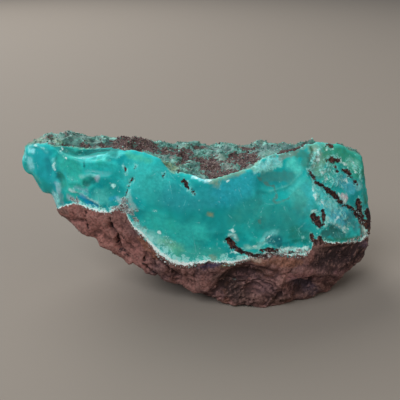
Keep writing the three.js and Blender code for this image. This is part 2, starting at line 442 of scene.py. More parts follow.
@dataclass(frozen=True)
class Patch:
    """An area with an outline on one side of the stone.

    Attributes:
        outline: its corners, (x, z) on the face and the back, (x, y) on the top.
        side: the side it lies on.
    """

    outline: Points2
    side: Side

    def inside(self, skin: Skin, wobble: Array) -> Array:
        """Distance inside the outline.

        Args:
            skin: the skin.
            wobble: unevenness of the edge at each point.

        Returns:
            One number a point, negative outside.
        """
        across = skin.across(self.side)
        ring = self.outline + self.outline[:1]
        distance = distance_to_run(ring, skin.x, across)[0]
        within = np.zeros(len(across), bool)
        for (a, b), (c, d) in zip(ring, ring[1:]):
            if b != d:
                crossing = (b > across) != (d > across)
                within ^= crossing & (skin.x < (c - a) * (across - b) / (d - b) + a)
        value = np.where(within, distance, -distance) + 3.0 * wobble
        return np.where(skin.shown(self.side) > 0.02, value, NOWHERE)


@dataclass(frozen=True)
class Furrow(Trace):
    """A ridge or a valley.

    Attributes:
        height: its height, negative for a valley.
        crisp: sharp along its line rather than rounded.
    """

    height: float
    crisp: bool = True

    def relief(self, skin: Skin) -> Array:
        """Works out the height that it adds.

        Args:
            skin: the skin.

        Returns:
            One height a point.
        """
        distance, progress, _ = self.reach(skin)
        t = np.clip(1.0 - distance / self.width, 0.0, 1.0)
        fade = smoothstep(0.0, 0.18, progress) * smoothstep(1.0, 0.82, progress)
        shape = t**1.3 if self.crisp else t * t * (3.0 - 2.0 * t)
        return self.height * shape * (0.25 + 0.75 * fade) * skin.shown(self.side)


@dataclass(frozen=True)
class Flake(Trace):
    """The edge of a flake's scar: a drop on the right of a line that heals over the width.

    Attributes:
        drop: how far the surface drops at the line.
    """

    drop: float

    def relief(self, skin: Skin) -> Array:
        """Works out the height that it adds.

        Args:
            skin: the skin.

        Returns:
            One height a point.
        """
        distance, progress, turn = self.reach(skin)
        fade = smoothstep(0.0, 0.22, progress) * smoothstep(1.0, 0.78, progress)
        heal = np.exp(-distance / self.width)
        edge = smoothstep(0.3, -0.3, np.sign(turn) * distance)
        return -self.drop * edge * heal * fade * skin.shown(self.side)


@dataclass(frozen=True)
class Bowl:
    """A shell-shaped scar on the face: a shallow oval dish with a crisp edge.

    Attributes:
        x: its middle, along the stone.
        z: its middle's height.
        long: half its length.
        short: half its breadth.
        depth: how deep its middle is.
        turn: how far its length leans up from X, in degrees.
    """

    x: float
    z: float
    long: float
    short: float
    depth: float
    turn: float = 0.0

    def relief(self, skin: Skin) -> Array:
        """Works out how deep it cuts.

        Args:
            skin: the skin.

        Returns:
            One depth a point.
        """
        a, b = skin.x - self.x, skin.z - self.z
        c, s = math.cos(math.radians(self.turn)), math.sin(math.radians(self.turn))
        u, v = (a * c + b * s) / self.long, (b * c - a * s) / self.short
        return self.depth * np.clip(1.0 - u * u - v * v, 0.0, 1.0) * skin.shown(Side.FACE)


@dataclass(frozen=True)
class Ledges:
    """Curved ledges on the face, as in layered rock that broke in shells.

    Attributes:
        middle: the place they curve round, (x, z).
        reach: radii of the innermost and the outermost ledge.
        spacing: breadth of one ledge.
        step: how far each ledge drops to the next.
        squeeze: how much flatter than round they are.
    """

    middle: Span
    reach: Span
    spacing: float
    step: float
    squeeze: float = 0.9

    def relief(self, skin: Skin) -> Array:
        """Works out the height that they add.

        Args:
            skin: the skin.

        Returns:
            One height a point.
        """
        a, b = skin.x - self.middle[0], (skin.z - self.middle[1]) / self.squeeze
        radius = np.hypot(a, b) + 1.3 * layered_noise(skin.points, 5.0, 97)
        inner, outer = self.reach
        share = smoothstep(inner, inner + 2.0, radius) * smoothstep(outer, outer - 1.0, radius)
        share = share * smoothstep(-2.0, 3.0, b) * skin.shown(Side.FACE)
        turn = radius / self.spacing
        return -self.step * (1.0 - (turn - np.floor(turn))) * share


@dataclass(frozen=True)
class Wash(Trace):
    """A soft stroke of colour.

    Attributes:
        colour: its colour.
        soft: how far its edge fades.
        strength: how strongly it covers.
    """

    colour: int
    soft: float
    strength: float

    def cover(self, skin: Skin, seam: Array, wobble: Array) -> Array:
        """How much of the stroke's colour each point takes, from 0 to 1.

        Args:
            skin: the skin.
            seam: distance above the contact with the ironstone, which no stroke crosses.
            wobble: unevenness of the stroke's edge.

        Returns:
            The cover of each point.
        """
        edge = self.reach(skin)[0] + wobble * min(1.0, self.width + 0.4 * self.soft)
        cover = smoothstep(self.width + self.soft, self.width - 0.35 * self.soft, edge)
        if self.side is not Side.TOP:
            x, z = np.mean(np.array(self.points), axis=0)
            contact = CONTACT_FACE if self.side is Side.FACE else CONTACT_BACK
            above = 1.0 if z > along(contact, x) else -1.0
            cover = cover * smoothstep(-0.4, 0.2, seam * above)
        return cover * self.strength * skin.shown(self.side)


def pairs(*row: float) -> Points2:
    """Groups the coordinates of a row in twos."""
    return tuple(zip(row[::2], row[1::2]))


def lay(kind: type, side: Side, *rows: tuple) -> tuple:
    """Makes marks of one kind on one side; a row has a line's coordinates and its measures."""
    return tuple(kind(pairs(*line), *measures, side=side) for line, *measures in rows)


# A row of a mark holds the line's coordinates and then the measures in the order of its
# class. Cracks and pits filled with brown grit:
CRACKS = lay(
    Streak, Side.FACE,
    ((35.2, 45.4, 36, 43.9, 37.2, 42.2, 38, 41.1, 39.6, 40.1, 41.2, 38.9), 0.46, 0.5, 0.6),
    ((38.8, 40.7, 41.2, 39, 42.7, 37.7, 44.6, 36.2, 46.2, 34.6, 47.4, 33), 0.95, 0.45, 1.2),
    ((47.2, 33.2, 48.2, 32, 50.8, 30.9, 52.5, 29.3, 53.9, 26.9, 56, 25), 0.5, 0.1, 0.8),
    ((54.1, 31.8, 54.8, 29.6, 54.9, 27.4, 56.6, 24.8, 58.8, 22.2), 1.2, 0.1, 0.7),
    ((58.8, 26.8, 59.8, 24.4, 60.3, 21.6, 60, 17.4), 1.3, 0.1, 0.2),
    ((42, 51, 43, 51, 44.5, 50.3), 0.5, 0.2, 0.2), ((41.6, 47.3, 44, 46.9, 46.4, 46.1), 0.9, 0.4, 0.8),
    ((44.6, 45.2, 45.4, 43.9, 46.5, 42.3), 0.4, 0.5, 0.3),
    ((47.8, 43.2, 49.6, 42.2, 51.2, 40.4), 0.72, 0.4, 0.7),
    ((51, 40.6, 52.6, 38.6, 54, 36.9), 0.36, 0.5, 0.5), ((9.1, 26.8, 10, 25.6), 1.2, 0, 1),
    ((9.8, 25.3, 11.1, 24), 1, 0, 0.8),
    ((10.8, 24.2, 13.2, 22.7, 16.8, 21.4, 20.7, 21.2), 0.66, 0, 0.7),
    ((19.8, 23.5, 21.9, 23.6, 24.2, 22.9), 0.85, 0.2, 0.5), ((28.6, 21.9, 30.4, 21.5), 0.45, 0.2, 0.4),
    ((36.6, 31.9, 37.9, 30.4, 39.4, 28.4), 1.2, 0.2, 0.9),
    ((40.1, 32.8, 40.5, 30.6, 40.3, 28.8), 0.72, 0.2, 0.7),
    ((-5.4, 45, -4.4, 43.9, -3.7, 43.2), 0.62, 0.2, 0.8),
    ((-3.5, 43.2, -2.3, 42.3, -1.7, 41.4), 0.38, 0.5, 0.6), ((-5.8, 42.4), 0.24, 0.5, 0.3),
    ((-24.1, 48.7, -23.7, 46.6, -23.5, 45.6), 0.22, 0.5, 0.3),
    ((-20.2, 49, -20.5, 47.9), 0.26, 0.5, 0.4), ((-11.3, 46.9, -11.9, 45.4), 0.28, 0.5, 0.4),
    ((-6.9, 47.1), 0.5, 0.5, 0.4), ((-23.9, 39, -22.9, 42.2, -21.6, 44.8), 0.3, 0.5, 0.4),
    ((36.2, 26, 36.7, 24.6, 37.8, 23.6), 0.75, 0, 0.7), ((39.2, 24.6, 39.8, 23.2), 0.7, 0, 0.9),
    ((33.2, 25.6), 0.32, 0.5, 0.3),
    ((-29.6, 30.8, -29.2, 27.1, -27.2, 25.2, -27.9, 22, -27.3, 19, -25.5, 17.2, -23.2, 15.2), 0.42, 0.5,
     1.4),
    ((-27.2, 25.2, -25.3, 23.9, -23.2, 22.4), 0.24, 0.5, 0.9),
    ((-18.6, 18, -19.2, 15.2, -17, 12.8, -14.4, 11.2), 0.4, 0.5, 1.2),
    ((-11.8, 17.4, -10.1, 14.2, -7.8, 10.6), 0.3, 0.5, 0.9),
    ((-37.8, 31.6, -38.4, 28.6, -37.6, 25.4), 0.2, 0.5, 0.7),
) + lay(
    Streak, Side.TOP,
    ((25.4, -7.8, 27.7, -6.8, 30.3, -5.4, 33, -3.6, 35.4, -1.4, 38.6, 0.6), 1, 0.3, 0.5),
) + lay(
    Streak, Side.BACK,
    ((38.6, 42, 36.4, 37, 37.4, 31.4, 34, 25.6), 0.7, 0.5, 1),
    ((37, 33.6, 42, 30.8, 46.6, 31.6), 0.5, 0.5, 0.8),
    ((23, 39, 18.6, 35.4, 17.4, 31, 11.8, 28.4), 0.45, 0.5, 0.8),
    ((3.4, 34.4, -1.2, 30, -6.8, 28.2), 0.6, 0.4, 0.9),
    ((-17, 38.6, -20.6, 35.6, -26.8, 35.2), 0.45, 0.4, 0.8), ((25.6, 20.8, 28.4, 23.6), 1, 0.2, 0.8),
    ((7.6, 19.4, 10.2, 20.6, 12, 19), 0.8, 0.2, 0.8), ((-36.4, 38, -38.4, 36.6), 0.6, 0.2, 0.7),
)
# Hairline flaws under the surface of the seam.
FLAWS = lay(
    Streak, Side.FACE,
    ((17.6, 45.6, 19.8, 43.6, 22.3, 42.1, 23.4, 41.8), 0.36),
    ((23.6, 41.4, 24.4, 38.8, 22.9, 38.1, 24.3, 37.4, 28.2, 38.3), 0.34), ((18.4, 33, 19, 31.6), 0.3),
) + lay(
    Streak, Side.BACK,
    ((30, 34, 26.4, 30.8, 20.6, 26.6), 0.3), ((12, 36.6, 8.4, 33, 9.6, 27), 0.3),
    ((-6, 35, -12, 32.6, -15.6, 29.4), 0.3),
)
# Where quartz grains and brown grit are mixed.
GRIT = lay(
    Patch, Side.FACE,
    ((-28.3, 34.6, -26.3, 36, -24.9, 37.4, -23.8, 38.6, -23, 36.4, -21, 34.4, -21.6, 32.4, -23.6,
     33.2),),
) + lay(
    Streak, Side.FACE,
    ((-22.4, 32.6, -20.4, 30.4), 0.7), ((-42.6, 35.4, -41, 35.2, -40, 34.8), 0.45),
    ((13.6, 20.6, 18.6, 21.4, 24, 22.2, 30, 21.4, 35.6, 21.6), 0.55),
    ((50, 20, 55, 19.4, 59, 19.6), 0.5), ((54.4, 29.4, 55.6, 26, 57.6, 23), 0.7),
) + lay(
    Streak, Side.BACK,
    ((12, 16, 22, 16.2, 30, 19.6), 0.5), ((33.6, 26, 36, 29), 0.9),
)
# Where fine white quartz frosts the seam.
FROST = lay(
    Patch, Side.FACE,
    ((36.4, 46.6, 39.3, 46.6, 42.8, 45.5, 45.8, 43.3, 48.6, 40.4, 49.4, 37.5, 46.6, 38.2, 43.4, 39.6,
     40.5, 41.9),),
    ((36.6, 41, 39.4, 37.4, 43.8, 34.4, 49.1, 30.1, 53.5, 23.7, 50.8, 23.8, 45.5, 29, 40.5, 33.7, 37,
     38),),
    ((16.4, 47.7, 19, 49.2, 22.4, 49.6, 26.4, 49, 26.2, 47.6, 22.9, 46.8, 18.4, 46.4),),
) + lay(
    Streak, Side.FACE,
    ((41.6, 30.2, 45.2, 27, 49.6, 23.4), 0.4, 0.2), ((36.6, 46.2, 37.6, 48.2, 39.4, 50.4), 1.2, 0.2),
    ((42.2, 47.8, 46, 46.8), 1.1, 0.2), ((50.4, 45.6, 53.6, 42.6, 55.6, 38), 1.2, 0.3),
    ((8.6, 27.9, 10.2, 28.8, 11.8, 27.4), 0.7, 0.3), ((17, 24.6, 20.4, 26.4, 23.6, 26), 0.7, 0.3),
    ((-57.6, 50.4, -54.6, 51, -51.6, 50.2), 0.3, 0.3), ((-45.8, 49.9, -43.9, 48.8), 0.2, 0.3),
    ((-43.4, 38.9, -40, 38.4, -36.6, 37.2), 0.25, 0.3), ((-48.4, 36.4, -47.6, 32.6), 1, 0.3),
    ((-11.4, 26.4, -9.4, 24.2), 1.4, 0.3),
) + lay(
    Patch, Side.BACK,
    ((30, 42, 46, 41, 50, 34, 44, 27, 38.6, 30, 38, 37),),
) + lay(
    Streak, Side.BACK,
    ((24, 22, 29, 26, 33, 31), 1.6, 0.3), ((0, 33, -6, 30.6, -14, 31), 1.4, 0.3),
    ((14, 38, 19, 33), 1.2, 0.3),
)
# White hairlines and specks of quartz on the seam, with painted glints and highlights among them, as
# marked.
VEINS_AND_GLINTS = lay(
    Streak, Side.FACE,
    ((39.2, 44.4, 40.6, 43.9, 41.7, 44.3), 0.4), ((41.3, 42.1, 42, 41.4), 0.4),
    ((46.9, 46.4, 47.6, 45.3), 0.5), ((47.4, 35.2, 48.7, 34, 49.1, 32.3), 0.36),
    ((41.6, 30.8, 42.7, 29.4, 45.6, 27.2, 48.1, 24.8, 49.4, 23.4), 0.34),
    ((48.6, 26, 48.9, 24.6, 50.6, 24), 0.3), ((44, 28.8, 46.4, 29.2), 0.25),
    ((45.6, 36.9, 46.8, 35.4, 48.2, 35.2), 0.45), ((37.4, 47, 39.6, 48.6), 0.3),
    ((47.6, 45.4, 49.4, 44), 0.3), ((52.4, 44.4, 53.2, 42.8), 0.3), ((40.6, 42.6, 41.6, 41), 0.3),
    ((41.6, 31, 42, 29.3, 41.7, 27.2), 0.26), ((36.6, 40.4, 36.9, 38.7, 37.6, 36.9), 0.35),
    ((39.7, 36.5, 40.1, 34.9), 0.5), ((41.9, 50.1, 43.6, 49.7, 45.2, 50), 0.25),
    ((38.4, 50.6, 39, 49.4, 38.9, 47.6), 0.25), ((57.2, 22.4, 57.8, 20.8, 57.4, 19.2), 0.5),
    ((35.4, 33, 37, 33.6, 38.8, 32.8), 0.3), ((49, 44.6, 50.6, 42.8), 0.35),
    ((51.6, 43.2, 53.2, 41), 0.4), ((48.2, 40.4, 50.4, 38.6), 0.4), ((7.9, 45.1, 8.9, 45.1), 0.3),
    ((9.3, 27.7, 10.9, 28), 0.5), ((9, 30.3, 10.2, 30.6, 11.2, 29.2), 0.3),
    ((10.1, 22.6, 12, 22.5), 0.45), ((16.7, 25, 18, 24.9), 0.5),
    ((19.6, 25.5, 21.5, 27.3, 23, 28.6), 0.2), ((25.5, 23, 28.6, 22.7), 0.5),
    # painted glints: the dots and short strokes at x -15.2, -13.7, -10.4, -20.4 and 6.1
    ((30.3, 22.4, 32.9, 22.4, 35, 22.3), 0.65), ((-15.2, 35.2, -14.2, 35.5), 0.32),
    ((-13.7, 27.5, -13, 28.2), 0.7), ((-10.4, 26.5), 0.45), ((-5.1, 40.2), 0.28), ((-20.4, 38.5), 0.26),
    ((6.1, 39), 0.24), ((14.2, 31.2), 0.24), ((-57, 51, -55.6, 51.2, -53.6, 51.5), 0.2),
    # painted highlights: the dot on the left lobe's top and the line on its ridge
    ((-56.6, 50.1, -55.8, 49.9), 0.2), ((-48.3, 46.5, -48.8, 45.5, -48.1, 44.3), 0.32),
    ((-46.3, 50.5, -45.7, 50.1), 0.3), ((-44.5, 49.1, -43.8, 48.7), 0.3),
    # painted glints: these two strokes; painted highlights at the crest on the next line
    ((-29.3, 42.7, -28.4, 42.1), 0.22), ((-28.8, 40.8, -28.1, 41.4), 0.28),
    ((-2.2, 46.4, -0.4, 45.8), 0.5), ((1.5, 45.5, 3.1, 45.2), 0.55),
) + lay(
    Streak, Side.BACK,
    ((45, 40, 41, 36, 40, 32), 0.3), ((34, 40, 31, 37.4, 31.4, 33), 0.3),
    ((20, 30, 15, 25, 14, 21), 0.25), ((-2, 32.6, -7, 31.6), 0.35), ((-24, 38, -30, 37.4), 0.3),
)
# Brown earth on the crust.
EARTH = lay(
    Patch, Side.TOP,
    ((-34.5, 1, -29.5, 3.6, -21.9, 6.4, -15, 1.6, -13.2, -0.8, -15.6, -5.6, -19.5, -8.8, -24, -8.4,
     -28.4, -8, -33.4, -2.8),),
    ((-13.4, 1.2, -7.8, 3.4, -3, 4.9, -3.6, -0.6, -4.1, -9.6, -7, -11.5, -6.8, -4, -12.8, -4.3),),
    ((-2.5, -1, 0, 0.2, 5.4, -0.2, 6.6, -4.6, 7.6, -9.6, 11.4, -12.6, 15.4, -13.2, 12, -16, 5.6, -18.6,
     3, -17.8, 1.1, -14.4, -0.8, -9.6),),
    ((9, 2.6, 12, 4.2, 17, 3.6, 20, -3.6, 20, -9.6, 14.2, -11.6, 10.8, -9.6, 9.2, -4.2),),
) + lay(
    Streak, Side.TOP,
    ((-10.4, 3.6, -6.8, 2.6, -4.2, 3.2), 1.5, 0.3), ((-52, 2.2, -50.4, 0, -49.2, -1.6), 0.9, 0.4),
    ((-46, -2.4, -44.6, -2.2, -42.8, -1.6), 0.55, 0.3), ((-41, -0.2, -39.2, -0.2, -37.2, -0.6), 1, 0.3),
    ((15.4, 7.4, 18.4, 4), 1.3, 0.2), ((-2.4, 6.4, 1.6, 6.2), 0.9, 0.2),
    ((25.4, -7.6, 27.7, -6.6, 30.3, -5.2, 33, -3.4, 35.4, -1.2, 38.6, 0.6), 1.2, 0.3),
    ((41, 4, 45, 6, 49, 9), 1.2, 0.4), ((41.6, 2.4, 42.8, -1.9, 44.8, -2.4), 0.8, 0.3),
    ((24, 9, 29, 12, 33, 10), 1.8, 0.4), ((-30, 10, -22, 13, -12, 11), 1.9, 0.4),
)
# Shell-shaped scars, ridges and valleys of the face, the ironstone and the top.
BOWLS = tuple(Bowl(*row) for row in (
    (-57.8, 45, 2.4, 4.6, 0.6, 20), (-52.4, 45, 3.8, 5.6, 0.5, 10), (-45.4, 41, 1.7, 2.8, 0.9, 20),
    (-42, 45, 4.4, 3.6, 0.7, -10), (-35.8, 42.2, 3.2, 1.6, 0.7, 22), (-37.5, 51.2, 8.5, 2.8, 1.7),
    (59.5, 38, 4, 11, 0.3), (-30, 40, 6.6, 4.6, 0.7, 5), (-39.5, 39.4, 4, 1.8, 0.6, -14),
    (-26.4, 44.4, 3.8, 3.4, 0.6), (-31.5, 46.6, 7, 2.2, 0.8, 2), (-12, 41, 12, 8, 0.8, -12),
    (-12, 28, 12, 8, 0.6, -25), (7, 38, 16, 9, 0.8, 4), (6, 25, 11, 6, 0.5), (25.5, 43, 11, 5.6, 1, 12),
    (26, 31, 12, 7, 0.7, -6), (33, 38.6, 5.6, 5, 0.7), (29.5, 24, 6, 2.4, 0.6), (37, 34, 4, 5, 0.6, 30),
    (50.5, 45.8, 6, 4.4, 0.9, -30), (48, 38.8, 5.2, 3.6, 0.7, -30), (43, 42.6, 3.8, 3.2, 0.6, -40),
    (52.6, 26, 5.4, 4.6, 0.6, -40), (44.6, 31.6, 4.4, 2.6, 0.5, -35), (44.6, 25, 5.2, 2.8, 0.9, -12),
    (13.5, 10, 11.5, 6, 2.2, 6), (10.6, 5.2, 3.6, 4.4, 1, -20), (34.6, 6.8, 6.4, 4.2, 1.6, -30),
    (50, 15.4, 9.5, 3.8, 1, -14), (-36, 25.5, 8, 5, 0.7, -35), (-20.5, 20, 5, 5.5, 0.7, -35),
    (-7, 11, 7, 4, 0.8, -20),
))
FURROWS = lay(
    Furrow, Side.FACE,
    ((-49.2, 51.6, -47.6, 48, -46.9, 44, -45.8, 41), 2.2, -0.6),
    ((-48.9, 49.6, -48.6, 45.6, -48.8, 41.5, -49.3, 38), 1.6, 0.3),
    ((-47.2, 40.6, -47.5, 36.6, -47.3, 32.4), 1.5, 0.5),
    ((-38.8, 43.4, -35.4, 44.9, -32.4, 44.4), 1, 0.4),
    ((-44, 49.6, -41.3, 49.2, -36.9, 50.1, -30.2, 51.6), 1.3, 0.4),
    ((-23.9, 38.6, -22.9, 42.2, -21.2, 46), 2, -0.5),
    ((-24.2, 36.2, -23.4, 39.4, -22.2, 36, -21, 32), 2.2, 0.5, False),
    ((41, 51.4, 37.4, 49, 35.2, 45.4), 2.4, 0.55),
    ((35.4, 45.1, 38.4, 41, 42, 38.3, 47.9, 32.4, 54.3, 28.4), 2.6, -0.7),
    ((42, 30, 45.2, 27.6, 50.2, 23.2), 1.6, 0.7),
    ((42, 30.2, 39.4, 33.8, 37.4, 37, 37.2, 39.8), 1.5, 0.5), ((8, 28.4, 10, 29, 12, 27.2), 0.9, 0.4),
    ((-40.8, 34.6, -33.6, 33, -27.4, 34.4), 1.2, 0.35),
    ((-21.3, 28.2, -14.3, 20.9, -7.7, 17.2, 2.1, 19.7, 9.6, 18.6), 1.1, 0.3),
    ((-30, 30.4, -29.5, 27, -27.4, 23.9, -27.3, 20.3, -25.3, 17.9, -23, 14.6), 1.5, -1.7),
    ((-13.6, 17.6, -11.4, 15.7, -9.1, 12.8), 1, -0.8),
    ((-38.8, 31.4, -38.6, 28.6, -38.4, 25.6), 1, -0.5),
    ((-18.8, 20.6, -17.6, 17.6, -18.2, 15), 0.9, -0.6),
    ((-26.8, 22.6, -24, 22, -21.8, 19.8), 0.9, -0.5),
    ((30, 15.9, 39.4, 12.7, 50.7, 6.4), 2.2, 0.8, False),
) + lay(
    Furrow, Side.TOP,
    ((-47, -4.4, -43.6, -5.6, -40, -5.4, -35, -4.2), 2.8, -0.7, False),
)
FLAKES = lay(
    Flake, Side.FACE,
    ((-58, 50, -54.6, 51, -52.6, 50.6, -50.4, 48.8), 3, 0.5),
    ((-44, 39, -38.8, 37.6, -34.1, 34.8, -30.4, 33.8), 2.2, 0.9),
    ((17, 41.6, 22, 40.6, 28, 41.4, 33.4, 44.4), 5, 0.4), ((-17, 46.6, -14, 45, -12.6, 42), 5, 0.35),
    ((3.4, 5.6, 5.4, 11.6, 8.2, 15, 12, 17.2, 18, 18, 24.8, 15.6, 28.4, 12.6), 2.2, 1.1),
    ((24.4, 2, 26.2, 7, 29.6, 10.8, 34, 11.9, 39.4, 11.4), 3.5, 1.2),
    ((38, 21.8, 44, 20.6, 51, 19.2, 58, 17.6), 3, 0.8), ((-46, 28, -40, 22.6, -34, 17.6), 2, 0.5),
)
LEDGES = tuple(Ledges(*row) for row in (
    ((17, 1), (4, 16), 2, 0.95), ((36, -4), (10, 17), 2.4, 0.7, 1), ((-14, 2), (9, 15), 2.4, 0.4, 1),
))
# Humps and dips of the crust.
MOUNDS = lay(
    Furrow, Side.TOP,
    ((-28.5, 0.6, -22, 2.4, -15, 3.6), 4.8, 2, False), ((-13, 6.4, -6, 7.6, 1, 8), 3.6, 1.1, False),
    ((-46, 7, -40, 8.6, -34, 8.8), 5, -1.7, False),
)
